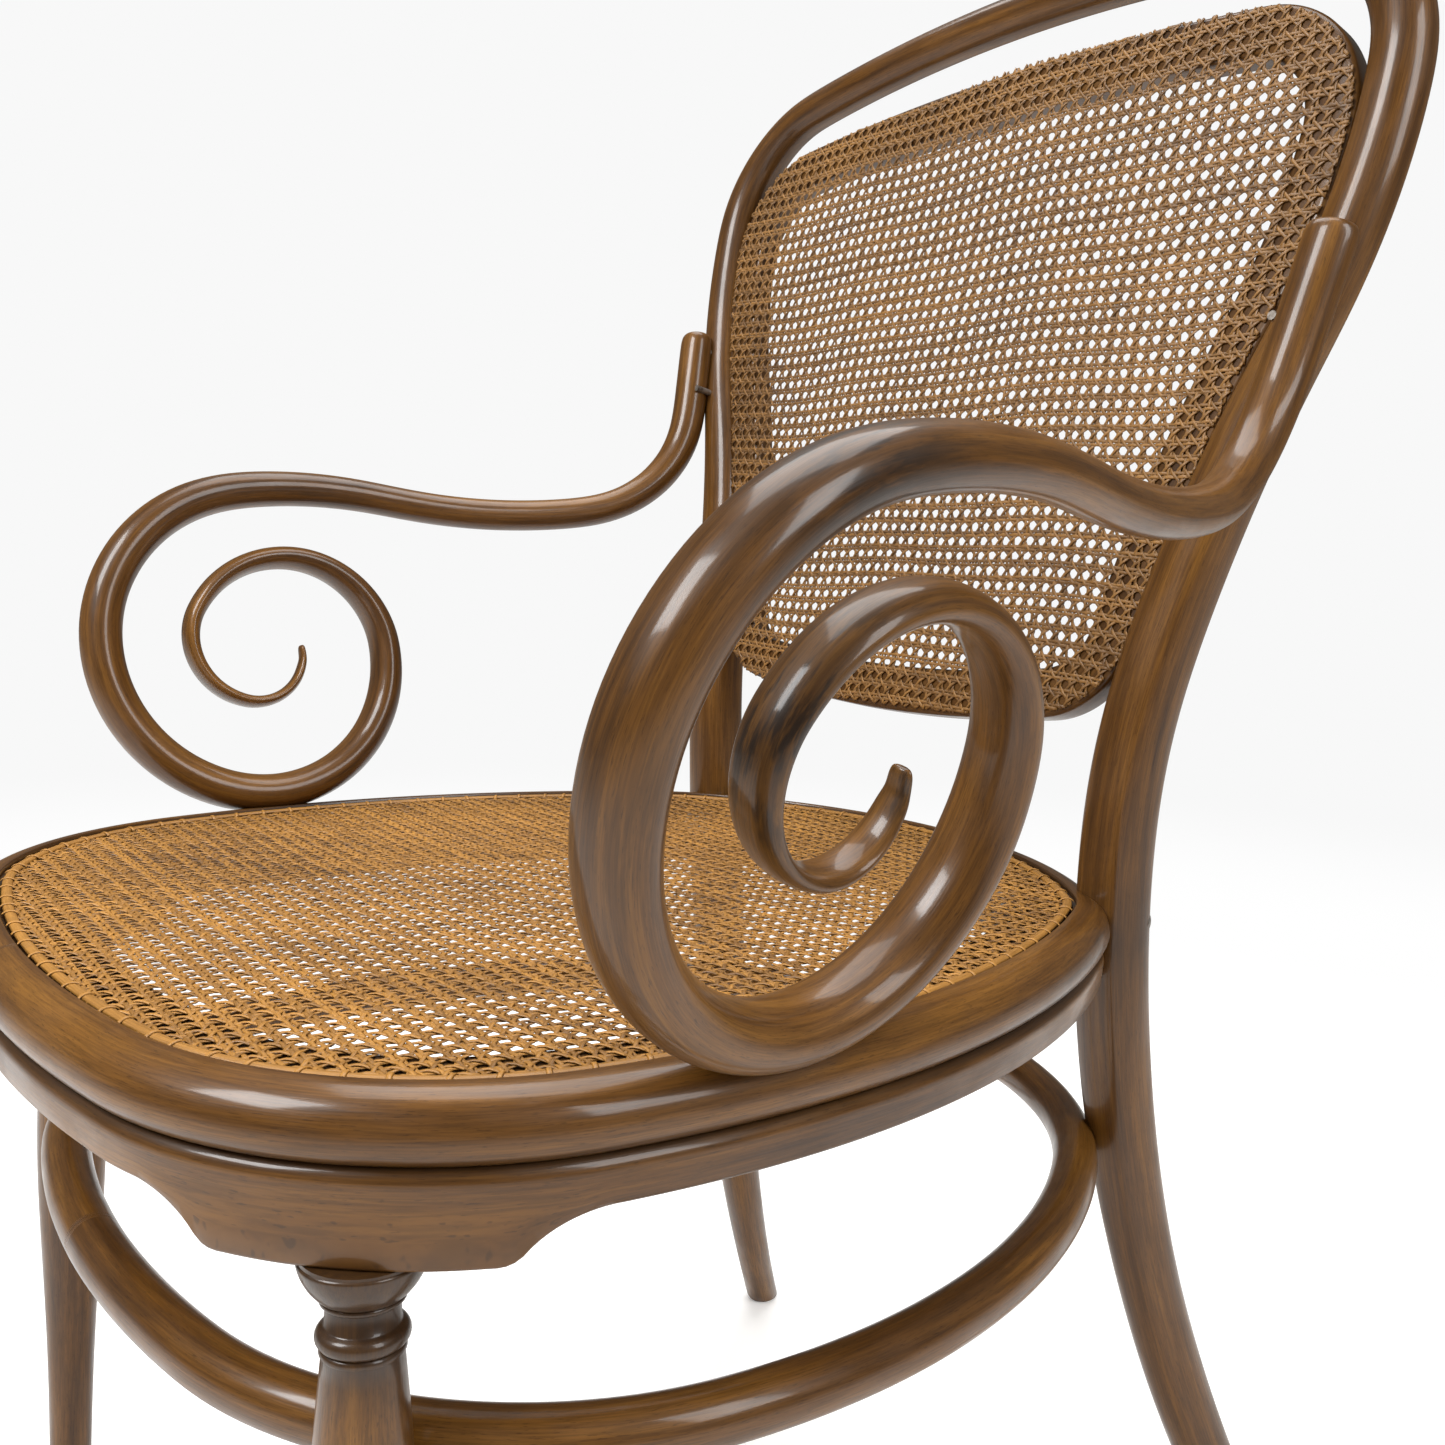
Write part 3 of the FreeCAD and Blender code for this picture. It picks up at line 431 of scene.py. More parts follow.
def make_wood(name, stain=0.0):
    """Stained beech: the grain attribute runs along x, with the section in y and z."""
    material, tree, nodes, links, shader = new_material(name)
    grain = attribute(nodes, "grain", "Vector")
    painted_shade_and_stain = attribute(nodes, "painted_shade_and_stain")
    broad = noise(tree, grain, (5.0, 45.0, 45.0), 3.0)
    bands = noise(tree, grain, (11.0, 260.0, 260.0), 5.0, 0.6)
    fine = noise(tree, grain, (55.0, 1500.0, 1500.0), 3.0)
    flecks = noise(tree, grain, (230.0, 2600.0, 2600.0), 1.0)
    deep = (0.027, 0.0105, 0.0030)
    middle = (0.098, 0.040, 0.0068)
    light = (0.200, 0.088, 0.0150)
    base = ramp(nodes, [(0.30, deep), (0.50, middle), (0.72, light)])
    links.new(blend(tree, (broad, 0.55), (bands, 0.45)), base.inputs["Fac"])
    streak = map_range(tree, fine, 0.36, 0.62, 0.80, 1.10)
    colour = mixed(tree, 1.0, base.outputs["Color"], streak, "MULTIPLY")
    dash = map_range(tree, flecks, 0.62, 0.72, 0.0, 0.45)
    colour = mixed(tree, dash, colour, tuple(c * 0.45 for c in deep))
    if stain:
        patches = noise(tree, grain, (22.0, 120.0, 120.0), 4.0, 0.7)
        spot = map_range(tree, patches, 0.46, 0.58, 0.0, stain)
        spot = math_node(tree, "MULTIPLY", spot, attribute(nodes, "stained"))
        colour = mixed(tree, spot, colour, (0.012, 0.007, 0.004))
    # Painted shade: this mix darkens the wood towards dark brown at joints, grooves and recesses,
    # and on the right arm also where it is stained.
    colour = mixed(tree, painted_shade_and_stain, colour, (0.018, 0.010, 0.006))
    links.new(colour, shader.inputs["Base Color"])
    worn = noise(tree, grain, (25.0, 60.0, 60.0), 4.0)
    rough = map_range(tree, worn, 0.3, 0.7, 0.30, 0.50)
    links.new(rough, shader.inputs["Roughness"])
    shader.inputs["Specular IOR Level"].default_value = 0.22
    shader.inputs["Coat Weight"].default_value = 0.38
    shader.inputs["Coat Roughness"].default_value = 0.12
    waves = noise(tree, grain, (14.0, 40.0, 40.0), 2.0)
    normal = bump(tree, waves, 0.25, 0.004)
    normal = bump(tree, fine, 0.12, 0.0006, normal)
    links.new(normal, shader.inputs["Normal"])
    return material


def make_cane(name, deep, light):
    """Rattan strands: the grain attribute runs along x; strand gives each its own tone."""
    material, tree, nodes, links, shader = new_material(name)
    grain = attribute(nodes, "grain", "Vector")
    strand = attribute(nodes, "strand")
    place = nodes.new("ShaderNodeTexCoord").outputs["Object"]
    fibre = noise(tree, grain, (60.0, 4200.0, 900.0), 3.0)
    patch = noise(tree, place, (9.0, 9.0, 9.0), 3.0)
    speck = noise(tree, place, (130.0, 130.0, 130.0), 2.0)
    mix = blend(tree, (fibre, 0.40), (patch, 0.30), (strand, 0.22), (speck, 0.14))
    base = ramp(nodes, [(0.33, deep), (0.52, tuple((a + b) / 2 for a, b in zip(deep, light))),
                        (0.72, light)])
    links.new(mix, base.inputs["Fac"])
    # Painted shade: this mix darkens the strands where they dip under their neighbours and on their
    # undersides.
    painted_shade_and_stain = attribute(nodes, "painted_shade_and_stain")
    colour = mixed(tree, painted_shade_and_stain, base.outputs["Color"],
                   tuple(c * 0.35 for c in deep))
    links.new(colour, shader.inputs["Base Color"])
    links.new(map_range(tree, fibre, 0.3, 0.7, 0.36, 0.55), shader.inputs["Roughness"])
    shader.inputs["Specular IOR Level"].default_value = 0.5
    links.new(bump(tree, fibre, 0.3, 0.0004), shader.inputs["Normal"])
    return material


def make_steel():
    material, tree, nodes, links, shader = new_material("dull_steel")
    place = nodes.new("ShaderNodeTexCoord").outputs["Object"]
    spots = noise(tree, place, (260.0, 260.0, 260.0), 5.0)
    base = ramp(nodes, [(0.35, (0.10, 0.075, 0.055)), (0.6, (0.33, 0.30, 0.27))])
    links.new(spots, base.inputs["Fac"])
    links.new(base.outputs["Color"], shader.inputs["Base Color"])
    links.new(map_range(tree, spots, 0.3, 0.7, 0.55, 0.35), shader.inputs["Roughness"])
    shader.inputs["Metallic"].default_value = 0.9
    links.new(bump(tree, spots, 0.2, 0.0004), shader.inputs["Normal"])
    return material


WOOD = make_wood("stained_beech")
WOOD_STAINED = make_wood("stained_beech_spotted", stain=0.9)
SEAT_CANE = make_cane("seat_rattan", (0.095, 0.040, 0.007), (0.44, 0.205, 0.035))
BACK_CANE = make_cane("back_rattan", (0.080, 0.036, 0.009), (0.300, 0.145, 0.034))
STEEL = make_steel()


# Rear member

def end_on_floor(skin, grain):
    """Cut a rod that runs through the floor, with a rounded edge at its foot."""
    keep = [i for i in range(len(skin)) if skin[i, :, 2].min() > 5.0]
    first, last = keep[0], keep[-1]
    rows, marks = list(skin[first:last + 1]), list(grain[first:last + 1])
    for end, step in ((first, -1), (last, 1)):
        lines = skin[end:, :, :] if step == 1 else skin[end::-1, :, :]
        foot = []
        for j in range(skin.shape[1]):
            z = lines[:, j, 2]
            k = int(np.argmax(z < 0.0))
            share = z[k - 1] / (z[k - 1] - z[k])
            foot.append(lines[k - 1, j] * (1 - share) + lines[k, j] * share)
        foot = np.array(foot)
        up = rows[-1 if step == 1 else 0]
        middle = foot.mean(axis=0)
        rings = [foot + (up - foot) * 0.35, middle + (foot - middle) * 0.97 + (0, 0, 0.9),
                 middle + (foot - middle) * 0.86]
        edge = marks[-1 if step == 1 else 0]
        for index, ring in enumerate(rings):
            away = edge + np.array([step * (2.0 + index), 0, 0])
            if step == 1:
                rows.append(ring)
                marks.append(away)
            else:
                rows.insert(0, ring)
                marks.insert(0, away)
    return np.array(rows), np.array(marks)


def make_rear_member():
    line = stations((0.0, HOOP_RISE), 0.0, HOOP_STEPS, 24.0)
    x, rise, heading = line[-1]
    line.append((x + 14.0 * cos(heading), rise + 14.0 * sin(heading), heading))
    both = [(-x, rise, -heading) for x, rise, heading in line[:0:-1]] + line
    sections = []
    for x, rise, heading in both:
        y, z, slope = side_place(rise)
        along = np.array([cos(heading), sin(slope) * sin(heading), cos(slope) * sin(heading)])
        front = np.array([0, -cos(slope), sin(slope)])
        half = hoop_half_size(rise)
        sections.append(section(np.array([x, y, z]), np.cross(front, along), front, half, half,
                                hoop_squareness(rise)))
    skin, grain = rod_grid(sections)
    skin, grain = end_on_floor(skin, grain)
    # Painted shade: the rear member is darkened around the height where the seat ring meets it.
    seat_joint_shade = np.clip(1 - np.abs(skin[..., 2] - 444.0) / 34.0, 0, 1)
    add_rod("rear_member", skin, grain, WOOD, ["rear_legs_and_back_hoop"],
            values={"painted_shade_and_stain": 0.35 * seat_joint_shade})


# Arms

ARM_STEPS = [(60.0, 0), (94.0, 69.6), (396.4, 19.4), (300.8, -19.0), (100.0, -58.9),
             (93.6, -93.7), (84.2, -114.6), (61.7, -86.6), (64.3, -58.8), (39.4, -104.9),
             (30.6, -112.5)]
ARM_SIZES = ((0.0, 11.0, 12.6), (0.06, 11.6, 12.4), (0.13, 10.6, 11.6), (0.28, 10.2, 12.2),
             (0.41, 12.2, 15.4), (0.6, 12.0, 15.6), (0.71, 10.2, 16.0), (0.8, 7.6, 13.8),
             (0.88, 5.6, 12.2), (0.94, 4.1, 10.6), (0.98, 2.9, 7.6), (1.0, 2.2, 5.4))
ARM_TONGUE_EMBED = 4.0
ARM_TONGUE_OUTSET = 5.5
ARM_SEAT_EMBED = 5.0
ARM_SEAT_INSET = 4.5
ARM_LEAN_OUT = 0.25
ARM_TOE_OUT = 0.095
ARM_BLEND = 302.0
ARM_TIP = 10.0
ARM_DOME = ((0.0, 0.3), (0.0, 0.62), (0.12, 0.86), (0.45, 0.97), (0.85, 1.0))


def table_at(share, table):
    for low, high in zip(table, table[1:]):
        if share <= high[0]:
            part = (share - low[0]) / (high[0] - low[0])
            return [a + (b - a) * part for a, b in zip(low[1:], high[1:])]
    return table[-1][1:]


def arm_sections():
    """Sections of the right arm, from its tongue on the upright to its inner tip."""
    flat = stations((0.0, 0.0), LEAN - 90.0, ARM_STEPS, 24.0)
    steps = [math.hypot(q[0] - p[0], q[1] - p[1]) for p, q in zip(flat, flat[1:])]
    lengths = np.concatenate([[0], np.cumsum(steps)])
    shares = lengths / lengths[-1]
    lowest = min(range(len(flat)), key=lambda i: flat[i][1])
    half, wide = table_at(shares[lowest], ARM_SIZES)
    start_z = SEAT_HEIGHT + LIP - ARM_SEAT_EMBED + half - flat[lowest][1]
    half, wide = table_at(0.0, ARM_SIZES)
    away = hoop_half_size(hoop_rise_at(start_z)) + half - ARM_TONGUE_EMBED
    start_y = lean_y(start_z) - away / cos(LEAN)
    line = [(p[0] - start_y, p[1] + start_z) for p in flat]
    low = line[lowest]
    seat = stations((0.0, -SEAT_FRONT), 0.0, SEAT_STEPS[:5], 4.0)
    x_seat = min(seat, key=lambda p: abs(p[1] + low[0]))[0]
    x_seat += RING_OUTSIDE - ARM_SEAT_INSET

    def scroll_x(forward, z):
        return x_seat + ARM_LEAN_OUT * (z - low[1]) + ARM_TOE_OUT * (forward - low[0])
    blend = scroll_x(*line[0]) - hoop_x_at(hoop_rise_at(line[0][1])) - ARM_TONGUE_OUTSET
    limit = line[0][0] + ARM_BLEND
    places = []
    for (forward, z), share in zip(line, shares):
        x = scroll_x(forward, z)
        if share < 0.45:
            x -= blend * (max(0.0, limit - forward) / ARM_BLEND) ** 2
        places.append((np.array([x, -forward, z]), share))
    normal = unit(np.array([1, ARM_TOE_OUT, -ARM_LEAN_OUT]))
    dome = ARM_TIP / lengths[-1]
    spots = [places[0]] + places + [places[-1]]
    made = []
    for (before, a), (here, share), (after, b) in zip(spots, spots[1:], spots[2:]):
        along = unit(after - before)
        wide_way = unit(normal - along * normal.dot(along))
        half, wide = table_at(share, ARM_SIZES)
        if share in (0.0, 1.0):
            inward = along if share == 0.0 else -along
            ends = [(here + inward * run * ARM_TIP, wide_way, along, wide * size, half * size)
                    for run, size in ARM_DOME]
            made += ends if share == 0.0 else ends[::-1]
        elif dome < share < 1.0 - dome:
            made.append((here, wide_way, along, wide, half))
    return [section(spot, wide_way, np.cross(wide_way, along), wide, half, 2.0)
            for spot, wide_way, along, wide, half in made]


def make_arms():
    skin, grain = rod_grid(arm_sections())
    run = grain[..., 0]
    total = run.max()
    share = run / total
    stained = sum(weight * np.exp(-((share - at) / width) ** 2) for weight, at, width in
                  ((0.85, 0.385, 0.03), (1.1, 0.885, 0.04), (0.9, 0.995, 0.012), (0.3, 0.49, 0.03)))
    # Painted shade: both arms are darkened towards their lowest part, where they rest on the seat
    # ring; the right arm's value also takes in a smooth darkening from its stains.
    low = np.clip(1 - (skin[..., 2] - 461.0) / 9.0, 0, 1) * 0.5
    add_rod("arm_right_rod", skin, grain, WOOD_STAINED, ["arm_right"],
            values={"stained": np.clip(stained, 0, 1),
                    "painted_shade_and_stain": np.maximum(low, 0.45 * np.clip(stained, 0, 1))})
    add_rod("arm_left_rod", skin, grain + (3000.0, 0, 0), WOOD_STAINED, ["arm_left"], mirror=True,
            values={"stained": 0.12 * np.clip(stained, 0, 1), "painted_shade_and_stain": low})


# Rings swept round the seat outline

def arc_points(first, middle, last, count):
    """Points on the arc through three points, the first left out."""
    (x1, y1), (x2, y2), (x3, y3) = first, middle, last
    d = 2 * (x1 * (y2 - y3) + x2 * (y3 - y1) + x3 * (y1 - y2))
    q1, q2, q3 = x1 * x1 + y1 * y1, x2 * x2 + y2 * y2, x3 * x3 + y3 * y3
    cx = (q1 * (y2 - y3) + q2 * (y3 - y1) + q3 * (y1 - y2)) / d
    cy = (q1 * (x3 - x2) + q2 * (x1 - x3) + q3 * (x2 - x1)) / d
    radius = math.hypot(x1 - cx, y1 - cy)
    a1, a2, a3 = (math.atan2(y - cy, x - cx) for x, y in (first, middle, last))
    turn = (a3 - a1) % (2 * math.pi)
    if (a2 - a1) % (2 * math.pi) > turn:
        turn -= 2 * math.pi
    return [(cx + radius * math.cos(a1 + turn * k / count),
             cy + radius * math.sin(a1 + turn * k / count)) for k in range(1, count + 1)]


def sweep_ring(name, profile, material, replaces, spacing=5.0, painted_shade_and_stain=None,
               start=(0.0, -SEAT_FRONT), steps=None, values=None, sharp=38):
    """A closed ring: profile points are (outward, z) or a function of each station's place."""
    points, outward, run = closed_line(start, steps or SEAT_STEPS, spacing)
    rows = []
    for index in range(len(points)):
        shape = np.array(profile(index, points[index]) if callable(profile) else profile)
        place = points[index] + outward[index] * shape[:, :1]
        rows.append(np.column_stack([place, shape[:, 1]]))
    skin = np.array(rows)
    shape = skin[0].shape[0]
    grain = np.zeros_like(skin)
    grain[..., 0] = run[:, None]
    flat = np.array(profile(0, points[0]) if callable(profile) else profile)
    grain[..., 1] = flat[None, :, 0]
    grain[..., 2] = flat[None, :, 1]
    extra = {}
    if painted_shade_and_stain is not None:
        extra["painted_shade_and_stain"] = painted_shade_and_stain(skin, flat).ravel()
    for key, value in (values or {}).items():
        extra[key] = np.full(skin.shape[0] * shape, value)
    faces = [grid_faces(skin.shape[0], shape, wrap_rows=True)[:, ::-1]]
    return add_piece(name, skin.reshape(-1, 3), faces, material, replaces,
                     grain.reshape(-1, 3), extra, sharp=sharp)


def make_seat_ring():
    lip = RING_BOTTOM + 24.0
    profile = [(-27.6, RING_BOTTOM), (-28.0, RING_BOTTOM + 0.5), (-28.0, 462.0), (-27.6, 462.5),
               (-0.2, 462.5), (0.4, 462.9), (0.4, 465.2), (1.0, lip)]
    profile += arc_points((1.0, lip), (12.95, RING_BOTTOM + 19.78), (17.5, RING_BOTTOM + 10.35), 12)
    profile += arc_points((17.5, RING_BOTTOM + 10.35), (16.45, RING_BOTTOM + 4.6),
                          (12.0, RING_BOTTOM), 8)

    def painted_shade_and_stain(skin, flat):
        # Painted shade: darker along the ring's bottom edge, at the groove above the apron, and in
        # the rebate under the cane.
        low = np.clip(1 - (flat[:, 1] - RING_BOTTOM) / 4.0, 0, 1) * 0.75
        rebate_shade = np.where((flat[:, 0] < 0.9) & (flat[:, 1] > 462.0), 0.6, 0.0)
        return np.repeat(np.maximum(low * 0.7, rebate_shade)[None, :], len(skin), axis=0)
    sweep_ring("seat_ring_wood", profile, WOOD, ["seat_ring"], painted_shade_and_stain=painted_shade_and_stain)


LOBE_FLAT = 40.0
LOBE_DROP = 16.0
LOBE_END = 77.0
LOBE_SIDE = [(LOBE_FLAT, LOBE_DROP)]
LOBE_SIDE += arc_points(LOBE_SIDE[-1], (45.58, 15.04), (49.0, 12.0), 8)
LOBE_SIDE += arc_points(LOBE_SIDE[-1], (57.4, 4.56), (LOBE_END, 0.0), 24)
LEG_SPLAY_OUT = 2.3
LEG_SPLAY_FRONT = 1.0
LEG_X = 202.0
LEG_Y = -SEAT_FRONT + 61.5


def lobe_drop_at(place):
    """How far the apron reaches below its plain edge, from the distance along the lobe."""
    best = 0.0
    for side in (-1, 1):
        centre_y = -SEAT_FRONT + SEAT_DEPTH / 2
        facing = math.radians(math.degrees(math.atan2(side * LEG_X, centre_y - LEG_Y)))
        dx, dy = place[0] - side * LEG_X, place[1] - LEG_Y
        along = abs(dx * math.cos(facing) + dy * math.sin(facing))
        if math.hypot(dx, dy) > 110.0:
            continue
        if along <= LOBE_FLAT:
            drop = LOBE_DROP
        elif along < LOBE_END:
            drop = float(np.interp(along, [p[0] for p in LOBE_SIDE], [p[1] for p in LOBE_SIDE]))
        else:
            drop = 0.0
        best = max(best, drop)
    return best


def make_apron():
    def profile(index, place):
        bottom = APRON_BOTTOM - lobe_drop_at(place)
        low = [(-22.0, RING_BOTTOM), (-22.0, bottom + 0.6), (-21.4, bottom), (11.2, bottom),
               (12.4, bottom + 0.25), (13.3, bottom + 0.9), (13.9, bottom + 1.9)]
        low += [(14.3, bottom + 2.0 + (APRON_BOTTOM - bottom) * 0.5)]
        start = (14.6, max(APRON_BOTTOM + 1.0, bottom + 3.0))
        low += arc_points(start, (14.95, APRON_BOTTOM + 6.0), (15.5, RING_BOTTOM - 6.0), 5)
        low += arc_points((15.5, RING_BOTTOM - 6.0), (14.6, RING_BOTTOM - 2.0),
                          (12.0, RING_BOTTOM), 6)
        return low

    def painted_shade_and_stain(skin, flat):
        # Painted shade: darker along the apron's top edge, at the groove under the seat ring, and
        # on its inner face.
        high = np.clip(1 - (RING_BOTTOM - flat[:, 1]) / 4.0, 0, 1) * 0.75
        full = np.repeat(high[None, :], len(skin), axis=0)
        inner = np.where(flat[:, 0] < -20.0, 0.3, 0.0)[None, :]
        return np.maximum(full, inner)
    sweep_ring("apron_wood", profile, WOOD, ["apron_ring"], spacing=2.5, painted_shade_and_stain=painted_shade_and_stain, sharp=30)


def make_stretcher():
    angles = [2 * math.pi * k / 32 for k in range(32)]
    profile = [(STRETCHER_RADIUS * math.cos(a), STRETCHER_HEIGHT + STRETCHER_RADIUS * math.sin(a))
               for a in angles]
    sweep_ring("stretcher_wood", profile, WOOD, ["stretcher_hoop"], steps=STRETCHER_STEPS,
               start=(0.0, -STRETCHER_FRONT), sharp=None)


# Front legs

def natural_curve(points, samples):
    """An even cubic curve through points, with free ends, spaced by chord length."""
    p = np.array(points, float)
    t = np.concatenate([[0], np.cumsum(np.linalg.norm(np.diff(p, axis=0), axis=1))])
    n = len(p)
    a = np.eye(n)
    b = np.zeros_like(p)
    h = np.diff(t)
    for i in range(1, n - 1):
        a[i, i - 1], a[i, i], a[i, i + 1] = h[i - 1], 2 * (h[i - 1] + h[i]), h[i]
        b[i] = 6 * ((p[i + 1] - p[i]) / h[i] - (p[i] - p[i - 1]) / h[i - 1])
    m = np.linalg.solve(a, b)
    out = []
    for value in np.linspace(0, t[-1], samples + 1)[1:]:
        i = min(n - 2, int(np.searchsorted(t, value, side="right")) - 1)
        u = (value - t[i]) / h[i]
        v = 1 - u
        out.append(tuple(v * p[i] + u * p[i + 1]
                         + h[i] ** 2 / 6 * ((v ** 3 - v) * m[i] + (u ** 3 - u) * m[i + 1])))
    return out


def make_front_legs():
    line = [(20.5, -0.2), (20.5, -1.5)]
    line += arc_points(line[-1], (21.0, -2.0), (21.1, -2.9), 4)
    line += arc_points(line[-1], (19.2, -8.094), (14.4, -14.2), 10)
    line += [(13.4, -14.6)]
    line += arc_points(line[-1], (14.0, -15.6), (13.3, -16.6), 6)
    line += [(12.1, -17.4), (12.3, -23.7), (12.9, -24.2)]
    line += arc_points(line[-1], (15.4, -27.4), (13.5, -30.8), 9)
    line += [(13.1, -31.0)]
    line += arc_points(line[-1], (14.1, -32.4), (13.4, -34.0), 6)
    line += natural_curve([line[-1], (17.2, -84.0), (13.6, -215.0), (11.0, -420.0)], 60)
    around = 40
    angles = np.arange(around) * 2 * np.pi / around
    for side, name in ((-1, "front_leg_left"), (1, "front_leg_right")):
        out = Matrix.Rotation(math.radians(-side * LEG_SPLAY_OUT), 3, "Y")
        turn = np.array(out @ Matrix.Rotation(math.radians(-LEG_SPLAY_FRONT), 3, "X"))
        rows, marks = [], []
        for r, z in line:
            ring = np.stack([r * np.cos(angles), r * np.sin(angles), np.full(around, z)], axis=1)
            placed = ring @ turn.T + (side * LEG_X, LEG_Y, LOBE_BOTTOM)
            if placed[:, 2].min() < 4.0:
                break
            rows.append(placed)
            marks.append(np.stack([np.full(around, -z), ring[:, 0], ring[:, 1]], axis=1))
        down = turn @ np.array([0, 0, -1.0])
        last = rows[-1]
        foot = last + down * (last[:, 2:3] / -down[2])
        middle = foot.mean(axis=0)
        for k, ring in enumerate((foot + (last - foot) * 0.3,
                                  middle + (foot - middle) * 0.97 + (0, 0, 0.9),
                                  middle + (foot - middle) * 0.88)):
            rows.append(ring)
            marks.append(marks[-1] + (1.0, 0, 0))
        rows[0][:, 2] = LOBE_BOTTOM + 0.3
        skin, grain = np.array(rows), np.array(marks)
        depth = grain[..., 0]
        # Painted shade: the leg tops are darkened under the apron lobe and in the turned grooves.
        collar_shade = np.clip((52.0 - depth) / 20.0, 0, 1) * 0.72
        groove_shade = sum(np.exp(-((depth - at) / 0.9) ** 2) for at in (14.5, 17.1, 24.0, 31.0, 34.3))
        painted_shade_and_stain = np.clip(np.maximum(collar_shade, 0.85 * groove_shade), 0, 1)
        grain = grain + (side * 900.0, 40.0, 0)
        add_rod(name + "_turned", skin, grain, WOOD, [name], values={"painted_shade_and_stain": painted_shade_and_stain})


# Back panel frame

def pair_radii(x_gap, rise_gap, start_turn, end_turn):
    m11, m12 = sin(end_turn), sin(start_turn) - sin(end_turn)
    m21, m22 = 1 - cos(end_turn), cos(end_turn) - cos(start_turn)
    scale = m11 * m22 - m12 * m21
    return (x_gap * m22 - m12 * rise_gap) / scale, (m11 * rise_gap - m21 * x_gap) / scale


PANEL_WIDTH = 27.0
PANEL_ROUND = 3.0
PANEL_SHOULDER_TURN = 5.0
PANEL_WAIST_TURN = 10.0
PANEL_TOP_TURN = 6.0
PANEL_BOTTOM_TURN = 8.0
PANEL_TOP = HOOP_RISE - 39.8
PANEL_BOTTOM = 566.0
PANEL_FRONT = 7.0
PANEL_BACK = -9.0


def panel_steps():
    beside = hoop_half_size(WIDEST_RISE) - 0.6
    shoulder, upright = SHOULDER_BEND - beside, UPRIGHT_BEND + beside
    x_high = HOOP_HALF_WIDTH - beside - shoulder * (1 - cos(PANEL_SHOULDER_TURN))
    rise_high = WIDEST_RISE - shoulder * sin(PANEL_SHOULDER_TURN)
    x_low = WAIST_HALF_WIDTH + UPRIGHT_BEND - upright * cos(PANEL_WAIST_TURN)
    rise_low = WAIST_RISE + upright * sin(PANEL_WAIST_TURN)
    top, corner = pair_radii(x_high, PANEL_TOP - rise_high, 90.0 + PANEL_SHOULDER_TURN,
                             PANEL_TOP_TURN)
    bottom, low_corner = pair_radii(x_low, rise_low - PANEL_BOTTOM, 90.0 - PANEL_WAIST_TURN,
                                    PANEL_BOTTOM_TURN)
    half = [(top, -PANEL_TOP_TURN), (corner, PANEL_TOP_TURN - 90.0 - PANEL_SHOULDER_TURN),
            (shoulder, PANEL_SHOULDER_TURN - WAIST_TURN),
            (upright, WAIST_TURN - PANEL_WAIST_TURN),
            (low_corner, PANEL_WAIST_TURN + PANEL_BOTTOM_TURN - 90.0),
            (bottom, -PANEL_BOTTOM_TURN)]
    return half + half[::-1]


PANEL_STEPS = panel_steps()


def panel_place(x, rise, forward):
    """Points of the leaning plane, moved towards the front."""
    y, z, slope = side_place(BEND_RISE)
    up = np.asarray(rise) - BEND_RISE
    forward = np.asarray(forward)
    return np.stack([np.asarray(x) + 0 * up, y + up * sin(LEAN) - forward * cos(LEAN),
                     z + up * cos(LEAN) + forward * sin(LEAN)], axis=-1)


def panel_line(spacing, most_turn=2.5):
    """The panel outline turns right, so its outward side is on the left."""
    points, outward, run = closed_line((0.0, PANEL_TOP), PANEL_STEPS, spacing, most_turn)
    return points, -outward, run


def make_panel_frame():
    points, outward, run = panel_line(5.0)
    near, far = PANEL_ROUND, PANEL_WIDTH - PANEL_ROUND
    high, low = PANEL_FRONT - PANEL_ROUND, PANEL_BACK + PANEL_ROUND
    profile = []
    for cx, cy, start in ((near, high, 180), (far, high, 90), (far, low, 0), (near, low, -90)):
        for k in range(5):
            angle = start - 22.5 * k
            profile.append((cx + PANEL_ROUND * cos(angle), cy + PANEL_ROUND * sin(angle)))
    profile = np.array(profile)
    rows, marks = [], []
    for place, way, along in zip(points, outward, run):
        flat = place - way * profile[:, :1]
        rows.append(panel_place(flat[:, 0], flat[:, 1], profile[:, 1]))
        marks.append(np.column_stack([np.full(len(profile), along), profile]))
    skin, grain = np.array(rows), np.array(marks)
    # Painted shade: the whole frame, which lies behind the cane and the uprights, is darkened
    # evenly.
    painted_shade_and_stain = np.full(skin.shape[0] * skin.shape[1], 0.18)
    add_piece("back_panel_wood", skin.reshape(-1, 3), [grid_faces(len(rows), len(profile), True)],
              WOOD, ["back_panel_frame"], grain.reshape(-1, 3), {"painted_shade_and_stain": painted_shade_and_stain}, sharp=50)


# Woven cane

PITCH = 8.4
STRAND_THICK = 0.55
WEAVE_REACH = 420.0
WAYS = {"up": (0.0, 1.0), "across": (1.0, 0.0), "rise": (0.7071, 0.7071),
        "fall": (0.7071, -0.7071)}


def inside_spans(polygon, start, way):
    """Where the line from start along way is inside a polygon, as (enter, leave) lengths."""
    a = polygon - start
    b = np.roll(polygon, -1, axis=0) - start
    normal = np.array([-way[1], way[0]])
    da, db = a @ normal, b @ normal
    cross = (da > 0) != (db > 0)
    share = da[cross] / (da[cross] - db[cross])
    hits = np.sort((a[cross] + (b[cross] - a[cross]) * share[:, None]) @ way)
    return list(zip(hits[::2], hits[1::2]))


